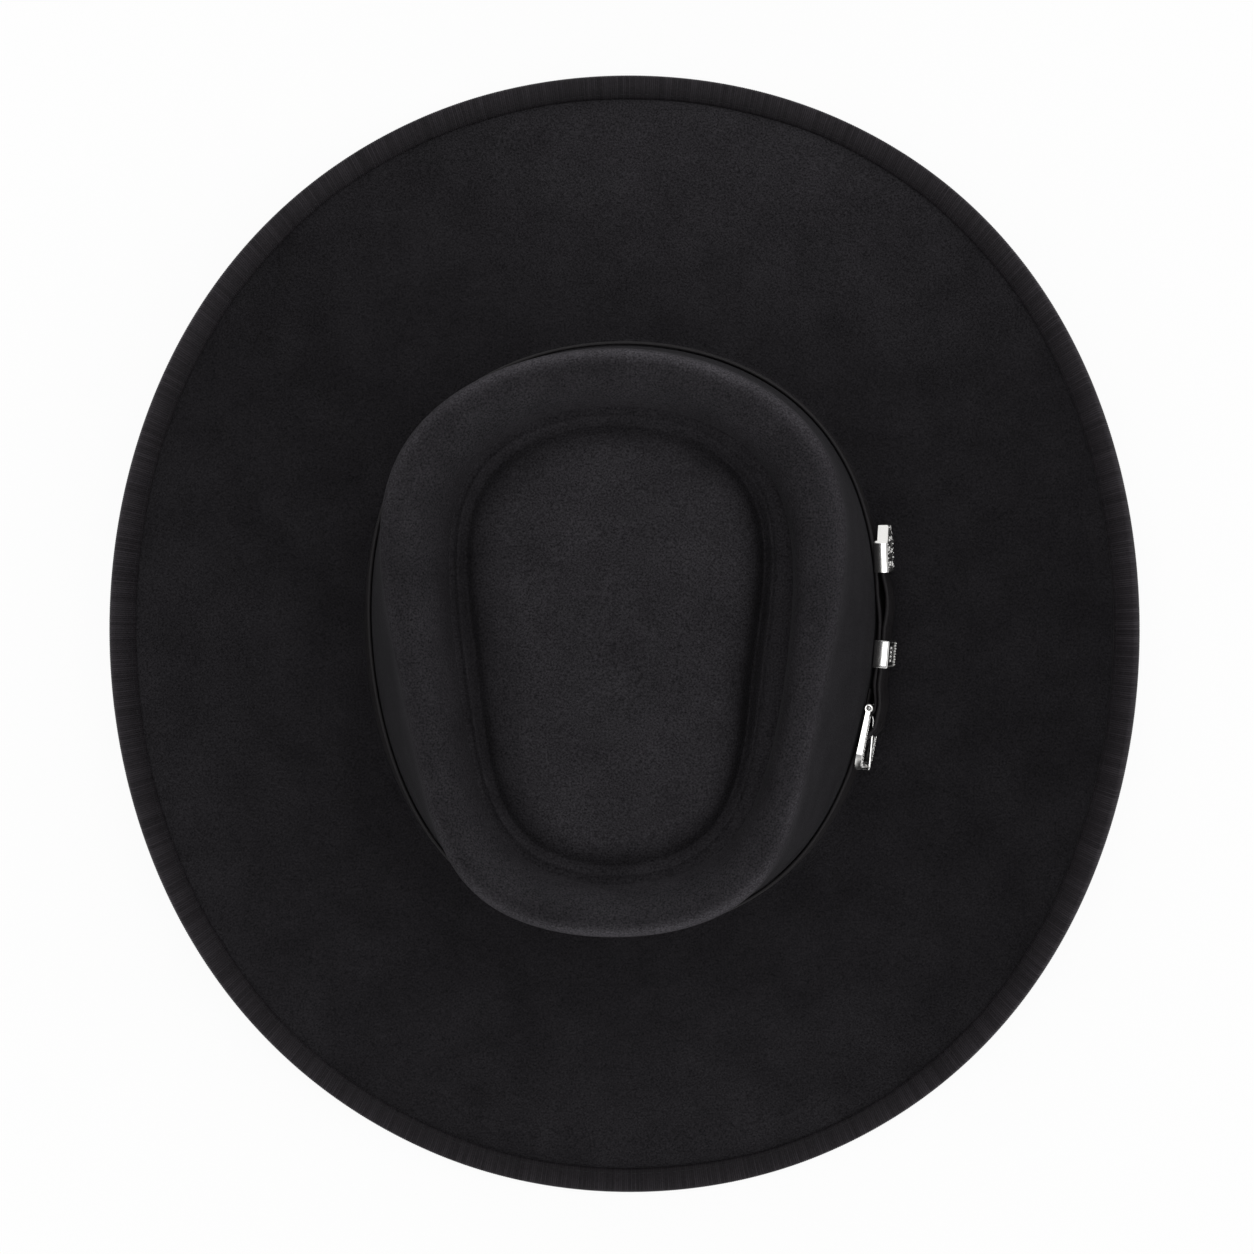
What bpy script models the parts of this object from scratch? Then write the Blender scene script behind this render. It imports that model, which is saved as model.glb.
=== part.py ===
"""Felt western hat: telescope crown, bound brim, lined inside, with a buckled leather band.

Lengths are in metres and +Z is up. The hat stands on its brim at z = 0, its back is toward +Y
and the wearer's left side, which carries the buckle, is toward +X.
"""
import math

import bmesh
import bpy
import numpy as np
from mathutils import Vector

MM = 0.001
DEG = math.pi / 180

# Fits
GAP = 0.3 * MM

# Brim, measured to the outside of its binding
BRIM_HALF_WIDTH = 179.6 * MM
BRIM_HALF_LENGTH = 200.9 * MM
BRIM_SIDE_FULLNESS = -0.015
BRIM_END_FULLNESS = 0.099
BRIM_TAPER = 0.012
BRIM_DIP = 13.0 * MM
BRIM_SIDE_RISE = 28.0 * MM
REST_HALF_ANGLE = 24 * DEG
FELT_THICKNESS = 2.2 * MM
BREAK_FILLET = 3.0 * MM

# Crown, outside of the felt
BASE_HALF_WIDTH = 91.9 * MM
BASE_HALF_LENGTH = 103.5 * MM
BASE_FULLNESS = 0.059
BASE_TAPER = 0.035
WALL_HEIGHT = 99.0 * MM
CROWN_HEIGHT = 105.0 * MM
RIM_HALF_WIDTH = 73.7 * MM
RIM_HALF_LENGTH = 98.1 * MM
RIM_SIDE_FULLNESS = 0.375
RIM_END_FULLNESS = 0.0
RIM_TAPER = 0.249
RIM_TAPER_CUBIC = -0.248
CREASE_HALF_WIDTH = 50.2 * MM
CREASE_HALF_LENGTH = 76.5 * MM
CREASE_SIDE_FULLNESS = 0.365
CREASE_END_FULLNESS = 0.066
CREASE_TAPER = 0.187
CREASE_TAPER_CUBIC = -0.133
CREASE_FORWARD = 1.2 * MM
CREST_INSET = 0.28
SHOULDER_FULLNESS = 0.55
DENT_DEPTH = 20.0 * MM
DENT_ROLL = 0.66
DENT_FALL = 0.93
DENT_FALL_SHARE = 0.5
DENT_FLOOR_RISE = 4.0 * MM
DENT_FLOOR_INSET = 0.12
DOME_HEIGHT = 4.0 * MM

# Ribbon folded over the brim edge
RIBBON_THICKNESS = 0.7 * MM
RIBBON_WIDTH = 7.8 * MM

# Sweatband, its reed and tape, the bow on its seam, and the lining behind it
LINING_THICKNESS = 0.4 * MM
LINING_SLACK = 8.0 * MM
SWEATBAND_THICKNESS = 1.2 * MM
SWEATBAND_TOP = 44.0 * MM
REED_DIAMETER = 1.2 * MM
TAPE_THICKNESS = 0.4 * MM
TAPE_OUTER_LEG = 6.0 * MM
TAPE_INNER_LEG = 5.0 * MM
TAPE_CHAMFER = 0.8 * MM
BOW_HALF_LENGTH = 11.0 * MM
BOW_HALF_HEIGHT = 4.5 * MM
BOW_THICKNESS = 1.2 * MM
BOW_CENTRE = 13.0 * MM
BOW_WAIST = 0.42
BOW_KNOT = 0.12

# Leather band; places along it are measured from the middle of the buckle side, backward positive
STRAP_HEIGHT = 15.0 * MM
STRAP_THICKNESS = 1.3 * MM
STRAP_LIFT = 5.0 * MM
SKIVED_THICKNESS = 0.9 * MM
CHAPE_THICKNESS = 0.6 * MM
CHAPE_LENGTH = 7.0 * MM
CHAPE_RAMP_LEAD = 0.5 * MM
FOLD_SLACK = 0.3 * MM
CLIMB_LEAD = 5.0 * MM
CLIMB_LENGTH = 9.0 * MM
SETTLE_LEAD = 1.0 * MM
SETTLE_LENGTH = 12.0 * MM
FREE_BOW = 1.0 * MM
BAR_PLACE = -25.0 * MM
KEEPER_PLACE = -5.6 * MM
TIP_MOUTH_PLACE = 23.0 * MM
SPARE_HOLE_DIAMETER = 2.4 * MM
SPARE_HOLE_PITCH = 10.0 * MM
SPARE_HOLE_COUNT = 4

# Buckle
BAR_DIAMETER = 1.4 * MM
BAR_FIT = 0.2 * MM
EAR_WALL = 0.6 * MM
EYE_WALL = 0.8 * MM
TONGUE_WIDTH = 1.6 * MM
TONGUE_THICKNESS = 1.2 * MM
TONGUE_SLOT_FIT = 0.4 * MM
TONGUE_SLOT_FRONT = 2.4 * MM
TONGUE_SLOT_BACK = 5.8 * MM
FRAME_LENGTH = 20.4 * MM
RAIL_WIDTH = 2.8 * MM
RAIL_THICKNESS_HEEL = 1.8 * MM
RAIL_THICKNESS_FAR = 2.8 * MM
FRAME_SIDE_FIT = 0.7 * MM
FAR_RAIL_FIT = 0.7 * MM
FRAME_CORNER = 4.0 * MM

# Keeper and strap tip
KEEPER_LENGTH = 9.6 * MM
KEEPER_BACK_WALL = 0.5 * MM
KEEPER_WALL = 0.7 * MM
KEEPER_TRAVEL = 4.5 * MM
TIP_LEAD = 1.5 * MM
TIP_FLARE = 4 * DEG
TIP_SKIRT_LIFT = 0.5 * MM
TIP_WALL = 0.5 * MM
TIP_FACE = 1.0 * MM
TIP_STRAIGHT = 10.3 * MM
TIP_POINT = 6.3 * MM
TIP_END_HALF_HEIGHT = 3.0 * MM

# Fineness of the facets
SEGMENTS = 64
WALL_RINGS = (0.35, 0.68)
STRAP_STEP = 9.0 * MM

# Heights and layers that follow from the sizes above
EDGE_BUILDUP = GAP + RIBBON_THICKNESS
BREAK_Z = EDGE_BUILDUP + FELT_THICKNESS + BRIM_DIP
TAPE_LAYER = FELT_THICKNESS + GAP
BACKING_THICKNESS = max(LINING_THICKNESS, TAPE_THICKNESS)
SWEATBAND_LAYER = TAPE_LAYER + BACKING_THICKNESS + GAP
SWEATBAND_FACE = SWEATBAND_LAYER + SWEATBAND_THICKNESS
CLOSURE_LAYER = GAP + KEEPER_BACK_WALL + GAP
FREE_LAYER = CLOSURE_LAYER + STRAP_THICKNESS + GAP
EYE_RADIUS = BAR_DIAMETER / 2 + GAP + EYE_WALL
EAR_RADIUS = BAR_DIAMETER / 2 + BAR_FIT + EAR_WALL
BAR_LAYER = GAP + max(EYE_RADIUS, CHAPE_THICKNESS + GAP + BAR_DIAMETER / 2)
CHAPE_TOP = BAR_LAYER + BAR_DIAMETER / 2 + GAP
FREE_OVER_BAR = max(CHAPE_TOP + SKIVED_THICKNESS, BAR_LAYER + EYE_RADIUS) + GAP
TIP_UNDERSIDE = GAP + STRAP_THICKNESS + GAP
TIP_LAYER = TIP_UNDERSIDE + TIP_WALL + GAP
FAR_RAIL_UNDERSIDE = GAP + STRAP_THICKNESS + FAR_RAIL_FIT
RIBBON_START = 1 - RIBBON_WIDTH / (BRIM_HALF_LENGTH - EDGE_BUILDUP - BASE_HALF_LENGTH)
LINING_HEIGHT = CROWN_HEIGHT - DENT_DEPTH - FELT_THICKNESS - LINING_SLACK
REED_RADIUS = REED_DIAMETER / 2
SWEATBAND_BOTTOM = REED_DIAMETER + GAP
STRAP_MIDDLE = STRAP_LIFT + STRAP_HEIGHT / 2
KEEPER_FRONT = KEEPER_PLACE - KEEPER_LENGTH / 2 - KEEPER_TRAVEL
KEEPER_BACK = KEEPER_PLACE + KEEPER_LENGTH / 2 + KEEPER_TRAVEL
TONGUE_LENGTH = FRAME_LENGTH + RAIL_WIDTH / 2
CLIMB_END = BAR_PLACE - CLIMB_LEAD
CLOSURE_END = KEEPER_BACK + SETTLE_LEAD


def clear_scene():
    """Remove every object that the scene starts with."""
    for old in list(bpy.data.objects):
        bpy.data.objects.remove(old, do_unlink=True)


def material(name, colour, metallic, roughness):
    """Plain Principled material."""
    made = bpy.data.materials.new(name)
    made.use_nodes = True
    shader = made.node_tree.nodes["Principled BSDF"]
    shader.inputs["Base Color"].default_value = (*colour, 1)
    shader.inputs["Metallic"].default_value = metallic
    shader.inputs["Roughness"].default_value = roughness
    return made


def add_object(name, points, faces, look, origin=(0, 0, 0)):
    """Closed body from points and faces, facing outward, with its origin where it turns."""
    body = bmesh.new()
    corners = [body.verts.new(Vector(p) - Vector(origin)) for p in points]
    for face in faces:
        body.faces.new([corners[i] for i in face])
    bmesh.ops.recalc_face_normals(body, faces=body.faces)
    mesh = bpy.data.meshes.new(name)
    body.to_mesh(mesh)
    body.free()
    mesh.materials.append(look)
    made = bpy.data.objects.new(name, mesh)
    made.location = origin
    bpy.context.scene.collection.objects.link(made)
    return made


def grid_faces(rows, columns, wrap_rows, wrap_columns):
    """Quads between neighbouring rows of a numbered grid."""
    faces = []
    for r in range(rows if wrap_rows else rows - 1):
        for c in range(columns if wrap_columns else columns - 1):
            r2 = (r + 1) % rows
            c2 = (c + 1) % columns
            faces.append((r * columns + c, r * columns + c2, r2 * columns + c2, r2 * columns + c))
    return faces


def ring_body(name, loops, look):
    """Closed ring whose cross-section is a loop of rings."""
    rings = np.array(loops)
    faces = grid_faces(rings.shape[0], rings.shape[1], True, True)
    return add_object(name, rings.reshape(-1, 3), faces, look)


def swept_body(name, sections, look, origin=(0, 0, 0)):
    """Solid bar through a row of closed sections, capped at both ends."""
    rows = np.array(sections)
    count, width = rows.shape[0], rows.shape[1]
    faces = grid_faces(count, width, False, True)
    faces.append(tuple(range(width)))
    faces.append(tuple(range((count - 1) * width, count * width)))
    return add_object(name, rows.reshape(-1, 3), faces, look, origin)


def cut(target, cutter):
    """Take a hidden cutter's volume out of a body."""
    cutter.hide_render = True
    cutter.display_type = "WIRE"
    step = target.modifiers.new("cut " + cutter.name, "BOOLEAN")
    step.operation = "DIFFERENCE"
    step.solver = "EXACT"
    step.object = cutter


def oval(t, half_width, half_length, side_full, end_full, taper=0.0, cubic=0.0, shift=0.0):
    """Plan outline at angle t: an ellipse with fuller quarters that widens toward the back."""
    sine, cosine = np.sin(t), np.cos(t)
    widening = 1 + taper * sine + cubic * sine ** 3
    x = half_width * cosine * (1 + side_full * sine ** 2) * widening
    y = half_length * sine * (1 + end_full * cosine ** 2) + shift
    return np.stack([x, y], axis=-1)


def at_height(plan, z):
    """Plan points lifted to one height or to a height each."""
    return np.concatenate([plan, np.broadcast_to(z, plan.shape[:-1])[..., None]], axis=-1)


def base_plan(t):
    return oval(t, BASE_HALF_WIDTH, BASE_HALF_LENGTH, BASE_FULLNESS, BASE_FULLNESS, BASE_TAPER)


def rim_plan(t):
    return oval(t, RIM_HALF_WIDTH, RIM_HALF_LENGTH, RIM_SIDE_FULLNESS, RIM_END_FULLNESS,
                RIM_TAPER, RIM_TAPER_CUBIC)


def crease_plan(t):
    return oval(t, CREASE_HALF_WIDTH, CREASE_HALF_LENGTH, CREASE_SIDE_FULLNESS, CREASE_END_FULLNESS,
                CREASE_TAPER, CREASE_TAPER_CUBIC, -CREASE_FORWARD)


def edge_plan(t):
    return oval(t, BRIM_HALF_WIDTH - EDGE_BUILDUP, BRIM_HALF_LENGTH - EDGE_BUILDUP,
                BRIM_SIDE_FULLNESS, BRIM_END_FULLNESS, BRIM_TAPER)


def brim_point(t, u):
    """Top of the brim from the crown (u = 0) to the felt edge (u = 1).

    It dips in front and behind, where it levels out under the ribbon, and rolls up at the sides.
    """
    base, edge = base_plan(t), edge_plan(t)
    from_end = np.arctan2(np.abs(np.cos(t)), np.abs(np.sin(t)))
    turn = np.clip((from_end - REST_HALF_ANGLE) / (math.pi / 2 - REST_HALF_ANGLE), 0, 1)
    side = np.sin(math.pi / 2 * turn) ** 2
    dip = BRIM_DIP * np.sin(math.pi / 2 * min(u / RIBBON_START, 1))
    z = BREAK_Z - (1 - side) * dip + side * BRIM_SIDE_RISE * u ** 2
    return at_height(base + (edge - base) * u, z)


def ruled_wall(t, h):
    """Outer face of the crown wall at height h above the break."""
    share = np.asarray(h / WALL_HEIGHT)[..., None]
    plan = base_plan(t) * (1 - share) + rim_plan(t) * share
    return at_height(plan, BREAK_Z + h)


def bezier(p0, p1, p2, p3, s):
    """Point and direction of a cubic curve between rings of points."""
    r = 1 - s
    point = r ** 3 * p0 + 3 * r * r * s * p1 + 3 * r * s * s * p2 + s ** 3 * p3
    direction = r * r * (p1 - p0) + 2 * r * s * (p2 - p1) + s * s * (p3 - p2)
    return point, direction


def unit(vectors):
    return vectors / np.linalg.norm(vectors, axis=-1, keepdims=True)


def outward(around, along):
    """Unit normals from the directions around the hat and up its profile."""
    return unit(np.cross(around, along))


def felt_profile(t):
    """Rings of the felt's outer skin from brim edge to crown centre, with profile directions."""
    rings = []
    small = 1e-4
    overhang = np.linalg.norm(edge_plan(t) - base_plan(t), axis=-1)
    share = float(BREAK_FILLET / overhang.mean())
    for u in (1.0, *np.linspace(RIBBON_START, share, 5)[:-1]):
        inward = brim_point(t, u - small) - brim_point(t, u)
        rings.append((brim_point(t, u), inward))

    start = brim_point(t, share)
    corner = brim_point(t, 0.0)
    end = ruled_wall(t, np.full_like(t, BREAK_FILLET))
    for s in np.linspace(0, 1, 4):
        rings.append(bezier(start, start + (corner - start) * 2 / 3, end + (corner - end) * 2 / 3, end, s))

    rim = at_height(rim_plan(t), BREAK_Z + WALL_HEIGHT)
    rise = rim - at_height(base_plan(t), BREAK_Z)
    for share in WALL_RINGS:
        rings.append((ruled_wall(t, np.full_like(t, share * WALL_HEIGHT)), rise))

    def top(f, z):
        plan = rim_plan(t) * (1 - f) + crease_plan(t) * f
        return at_height(plan, BREAK_Z + z)

    shoulder = CROWN_HEIGHT - WALL_HEIGHT
    lean = rim + rise * (SHOULDER_FULLNESS * shoulder / WALL_HEIGHT)
    flat = top((1 - SHOULDER_FULLNESS) * CREST_INSET, CROWN_HEIGHT)
    crest = top(CREST_INSET, CROWN_HEIGHT)
    for s in np.linspace(0, 1, 5):
        rings.append(bezier(rim, lean, flat, crest, s))

    groove_z = CROWN_HEIGHT - DENT_DEPTH
    groove = top(1.0, groove_z)
    roll = top(DENT_ROLL, CROWN_HEIGHT)
    fall = top(DENT_FALL, CROWN_HEIGHT - DENT_FALL_SHARE * DENT_DEPTH)
    for s in np.linspace(0, 1, 6)[1:-1]:
        rings.append(bezier(crest, roll, fall, groove, s))

    centre = np.array([0.0, -CREASE_FORWARD])

    def floor(g, z):
        return at_height(centre + (crease_plan(t) - centre) * g, BREAK_Z + z)

    plateau_z = groove_z + DENT_FLOOR_RISE
    plateau = floor(1 - DENT_FLOOR_INSET, plateau_z)
    foot = floor(1 - DENT_FLOOR_INSET / 2, groove_z)
    brow = floor(1 - DENT_FLOOR_INSET / 2, plateau_z)
    rings.append((groove, unit(groove - fall) + unit(foot - groove)))
    for s in np.linspace(0, 1, 4)[1:]:
        rings.append(bezier(groove, foot, brow, plateau, s))
    dome = floor(0.5 * (1 - DENT_FLOOR_INSET), plateau_z + 0.75 * DOME_HEIGHT)
    rings.append((dome, floor(0.0, plateau_z + DOME_HEIGHT) - plateau))
    points = np.array([ring[0] for ring in rings])
    directions = np.array([ring[1] for ring in rings])
    return points, directions


def around_angles():
    return np.arange(SEGMENTS) * 2 * math.pi / SEGMENTS


def felt_body(look):
    """Crown and brim in one felt shell of even thickness."""
    t = around_angles()
    step = 1e-4
    skin, along = felt_profile(t)
    around = felt_profile(t + step)[0] - felt_profile(t - step)[0]
    inside = skin - outward(around, along) * FELT_THICKNESS
    rows = np.concatenate([skin[::-1], inside])
    count = rows.shape[0]
    faces = grid_faces(count, SEGMENTS, False, True)
    points = list(rows.reshape(-1, 3))
    centre_z = BREAK_Z + CROWN_HEIGHT - DENT_DEPTH + DENT_FLOOR_RISE + DOME_HEIGHT
    points.append(np.array([0.0, -CREASE_FORWARD, centre_z]))
    points.append(np.array([0.0, -CREASE_FORWARD, centre_z - FELT_THICKNESS]))
    last = (count - 1) * SEGMENTS
    for i in range(SEGMENTS):
        j = (i + 1) % SEGMENTS
        faces.append((i, j, len(points) - 2))
        faces.append((last + i, last + j, len(points) - 1))
    return add_object("felt_body", points, faces, look)


def brim_binding(look):
    """Ribbon folded over the felt edge, its two legs lying on the brim."""
    t = around_angles()
    step = 1e-4

    def place(u, out, off):
        around = brim_point(t + step, u) - brim_point(t - step, u)
        inward = brim_point(t, u - step) - brim_point(t, u)
        normal = outward(around, inward)
        return brim_point(t, u) - unit(inward) * out + normal * off

    under = -FELT_THICKNESS - GAP
    loops = [
        place(RIBBON_START, 0, EDGE_BUILDUP),
        place(1, 0, EDGE_BUILDUP),
        place(1, EDGE_BUILDUP, 0),
        place(1, EDGE_BUILDUP, -FELT_THICKNESS),
        place(1, 0, under - RIBBON_THICKNESS),
        place(RIBBON_START, 0, under - RIBBON_THICKNESS),
        place(RIBBON_START, 0, under),
        place(1, GAP, under),
        place(1, GAP, GAP),
        place(RIBBON_START, 0, GAP),
    ]
    return ring_body("brim_binding", loops, look)


def wall_point(t, h, d):
    """Point at height h above the break and distance d out from the crown wall."""
    t = np.asarray(t, float)
    h = np.broadcast_to(np.asarray(h, float), t.shape)
    d = np.broadcast_to(np.asarray(d, float), t.shape)
    step = 1e-4
    around = ruled_wall(t + step, h) - ruled_wall(t - step, h)
    along = at_height(rim_plan(t), WALL_HEIGHT) - at_height(base_plan(t), 0.0)
    return ruled_wall(t, h) + outward(around, along) * d[..., None]


def wall_ring(name, section, look):
    """Ring lying along the crown wall, from (height, distance) corners of its section."""
    t = around_angles()
    return ring_body(name, [wall_point(t, h, d) for h, d in section], look)


def tape_section():
    """Folded tape: a trough round the reed with a leg on each side of the sweatband."""
    outer = -TAPE_LAYER
    inner = -(SWEATBAND_FACE + GAP + TAPE_THICKNESS)
    thick = TAPE_THICKNESS
    chamfer = TAPE_CHAMFER
    bottom = -thick - GAP
    slant = 0.4 * thick
    return [
        (TAPE_OUTER_LEG, outer), (bottom + chamfer, outer),
        (bottom, outer - chamfer), (bottom, inner + chamfer),
        (bottom + chamfer, inner), (TAPE_INNER_LEG, inner),
        (TAPE_INNER_LEG, inner + thick), (bottom + chamfer + slant, inner + thick),
        (bottom + thick, inner + chamfer + slant), (bottom + thick, outer - chamfer - slant),
        (bottom + chamfer + slant, outer - thick), (TAPE_OUTER_LEG, outer - thick),
    ]


def reed_section():
    middle = -(SWEATBAND_LAYER + SWEATBAND_THICKNESS / 2)
    angles = [k * math.pi / 3 for k in range(6)]
    return [(REED_RADIUS * (1 + math.sin(a)), middle + REED_RADIUS * math.cos(a)) for a in angles]


def sweatband_section():
    """Leather strip with a narrowed upper edge."""
    edge = 0.3 * SWEATBAND_THICKNESS
    middle = (SWEATBAND_BOTTOM + SWEATBAND_TOP) / 2
    return [
        (SWEATBAND_BOTTOM, -SWEATBAND_LAYER), (middle, -SWEATBAND_LAYER),
        (SWEATBAND_TOP, -SWEATBAND_LAYER - edge), (SWEATBAND_TOP, -SWEATBAND_FACE + edge),
        (middle, -SWEATBAND_FACE), (SWEATBAND_BOTTOM, -SWEATBAND_FACE),
    ]


def lining_side_section():
    heights = [TAPE_OUTER_LEG + GAP, *(share * WALL_HEIGHT for share in WALL_RINGS), LINING_HEIGHT]
    inner = -TAPE_LAYER - LINING_THICKNESS
    return [(h, -TAPE_LAYER) for h in heights] + [(h, inner) for h in reversed(heights)]


def lining_tip(look):
    """Oval of lining under the crown top, sewn to the upper edge of the side lining."""
    t = around_angles()
    lower_z = LINING_HEIGHT + GAP
    centre = np.array([0.0, 0.0])
    points = []
    for z in (lower_z, lower_z + LINING_THICKNESS):
        rim = wall_point(t, np.full_like(t, z), -TAPE_LAYER)[:, :2]
        for share in (1.0, 0.5):
            points.extend(at_height(centre + (rim - centre) * share, BREAK_Z + z))
        points.append(np.array([0.0, 0.0, BREAK_Z + z]))
    layer = 2 * SEGMENTS + 1
    faces = []
    for i in range(SEGMENTS):
        j = (i + 1) % SEGMENTS
        for first in (0, layer):
            inner = first + SEGMENTS
            faces.append((first + i, first + j, inner + j, inner + i))
            faces.append((inner + i, inner + j, first + 2 * SEGMENTS))
        faces.append((i, j, layer + j, layer + i))
    return add_object("lining_tip", points, faces, look)


def sweatband_bow(look):
    """Flat ribbon bow over the sweatband's back seam: two loops drawn in at a knot."""
    shares = np.linspace(-1, 1, 13)
    loops = np.sin(math.pi * np.abs(shares) ** 0.75)
    knot = np.exp(-(shares / BOW_KNOT) ** 2)
    heights = BOW_HALF_HEIGHT * (BOW_WAIST + (1 - BOW_WAIST) * loops)
    depths = BOW_THICKNESS * (0.5 + 0.5 * np.maximum(loops, knot))
    near = -(SWEATBAND_FACE + GAP)
    sections = []
    for share, height, depth in zip(shares, heights, depths):
        angle = math.pi / 2 + share * BOW_HALF_LENGTH / BASE_HALF_WIDTH
        corners = ((-height, near), (height, near), (height, near - depth), (-height, near - depth))
        sections.append([wall_point(angle, BOW_CENTRE + h, d) for h, d in corners])
    return swept_body("sweatband_bow", sections, look)


def strap_course():
    """Angles against length along the crown wall at the strap's middle, once round."""
    t = np.linspace(0, 2 * math.pi, 4097)
    line = ruled_wall(t, np.full_like(t, STRAP_MIDDLE))
    steps = np.linalg.norm(np.diff(line, axis=0), axis=1)
    return t, np.concatenate([[0.0], np.cumsum(steps)])


COURSE_ANGLE, COURSE_LENGTH = strap_course()
GIRTH = COURSE_LENGTH[-1]


def angle_at(s):
    """Angle round the crown at length s along the strap's course."""
    return np.interp(np.mod(s, GIRTH), COURSE_LENGTH, COURSE_ANGLE)


def local_axes(s):
    """Directions along the strap, up the wall and out of it at length s."""
    t = angle_at(s)
    step = 1e-4
    along = wall_point(t + step, STRAP_MIDDLE, 0) - wall_point(t - step, STRAP_MIDDLE, 0)
    up = wall_point(t, STRAP_MIDDLE + step, 0) - wall_point(t, STRAP_MIDDLE - step, 0)
    along, up = unit(along), unit(up)
    return along, up, np.cross(along, up)


def placed(s, d):
    """Point on the strap's middle line at length s and distance d from the felt."""
    return wall_point(angle_at(s), STRAP_MIDDLE, d)


def ease(x):
    """Smooth step from 0 to 1."""
    x = np.clip(x, 0, 1)
    return x * x * (3 - 2 * x)


def strap_path():
    """Middle line of the strap as (length, distance, thickness) from chape end to tip mouth."""
    chape_d = GAP + CHAPE_THICKNESS / 2
    top_d = CHAPE_TOP + SKIVED_THICKNESS / 2
    path = []
    for share in (1.0, 0.5, 0.0):
        path.append((BAR_PLACE + share * CHAPE_LENGTH, chape_d, CHAPE_THICKNESS))
    bend = (top_d - chape_d) / 2
    for k in range(1, 6):
        turn = math.pi * k / 6
        thick = CHAPE_THICKNESS + (SKIVED_THICKNESS - CHAPE_THICKNESS) * k / 6
        ahead = (bend + FOLD_SLACK) * math.sin(turn)
        path.append((BAR_PLACE - ahead, chape_d + bend * (1 - math.cos(turn)), thick))
    low_d = CLOSURE_LAYER + STRAP_THICKNESS / 2
    ramp_start = BAR_PLACE + CHAPE_RAMP_LEAD
    ramp = KEEPER_FRONT - ramp_start
    path.append((BAR_PLACE, top_d, SKIVED_THICKNESS))
    for share in np.linspace(0, 1, 6):
        rest = ease(share)
        thick = SKIVED_THICKNESS + (STRAP_THICKNESS - SKIVED_THICKNESS) * rest
        top = CHAPE_TOP + SKIVED_THICKNESS
        top = top + (CLOSURE_LAYER + STRAP_THICKNESS - top) * rest
        path.append((ramp_start + ramp * share, top - thick / 2, thick))
    for s in np.linspace(KEEPER_FRONT, CLOSURE_END, 9)[1:]:
        path.append((s, low_d, STRAP_THICKNESS))
    worn_d = GAP + STRAP_THICKNESS / 2
    for share in np.linspace(0, 1, 4)[1:]:
        path.append((CLOSURE_END + SETTLE_LENGTH * share, low_d + (worn_d - low_d) * ease(share),
                     STRAP_THICKNESS))
    climb_start = CLIMB_END - CLIMB_LENGTH
    round_start = CLOSURE_END + SETTLE_LENGTH
    count = int(round((GIRTH + climb_start - round_start) / STRAP_STEP))
    for s in np.linspace(round_start, GIRTH + climb_start, count + 1)[1:]:
        path.append((s, worn_d, STRAP_THICKNESS))
    over_d = FREE_OVER_BAR + STRAP_THICKNESS / 2
    for share in np.linspace(0, 1, 8)[1:]:
        path.append((GIRTH + climb_start + CLIMB_LENGTH * share, worn_d + (over_d - worn_d) * ease(share),
                     STRAP_THICKNESS))
    free_d = FREE_LAYER + STRAP_THICKNESS / 2
    for share in np.linspace(0, 1, 6):
        path.append((GIRTH + ramp_start + ramp * share, over_d + (free_d - over_d) * ease(share),
                     STRAP_THICKNESS))
    for s in np.linspace(KEEPER_FRONT, KEEPER_BACK, 5)[1:]:
        path.append((GIRTH + s, free_d, STRAP_THICKNESS))
    tip_d = TIP_LAYER + STRAP_THICKNESS / 2
    for share in np.linspace(0, 1, 8)[1:]:
        s = KEEPER_BACK + (TIP_MOUTH_PLACE - TIP_LEAD - KEEPER_BACK) * share
        bowed = FREE_BOW * math.sin(math.pi * share) ** 2
        path.append((GIRTH + s, free_d + (tip_d - free_d) * ease(share) + bowed, STRAP_THICKNESS))
    return np.array(path)


def tip_axes():
    """Mouth of the tip at the felt, and directions along the tip, up it and out of the hat."""
    along, up, out = local_axes(TIP_MOUTH_PLACE)
    ahead = along * math.cos(TIP_FLARE) + out * math.sin(TIP_FLARE)
    return placed(TIP_MOUTH_PLACE, 0.0), ahead, up, np.cross(ahead, up)


def rigid_box(name, origin, axes, corner, opposite, look):
    """Box between two corners given along three directions from a point."""
    points = []
    for i in (0, 1):
        for j in (0, 1):
            for k in (0, 1):
                picks = (corner[0] if i == 0 else opposite[0], corner[1] if j == 0 else opposite[1],
                         corner[2] if k == 0 else opposite[2])
                points.append(origin + sum(a * p for a, p in zip(axes, picks)))
    faces = [(0, 1, 3, 2), (4, 5, 7, 6), (0, 1, 5, 4), (2, 3, 7, 6), (0, 2, 6, 4), (1, 3, 7, 5)]
    return add_object(name, points, faces, look)


def rod(name, origin, axis, across, radius, low, high, sides, look, offset=None):
    """Round rod along an axis, with a direction across it to start its corners from."""
    third = np.cross(axis, across)
    sections = []
    for reach in (low, high):
        ring = []
        for k in range(sides):
            a = 2 * math.pi * k / sides
            ring.append(origin + axis * reach + (across * math.cos(a) + third * math.sin(a)) * radius)
        sections.append(ring)
    return swept_body(name, sections, look, origin if offset is None else offset)


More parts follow.
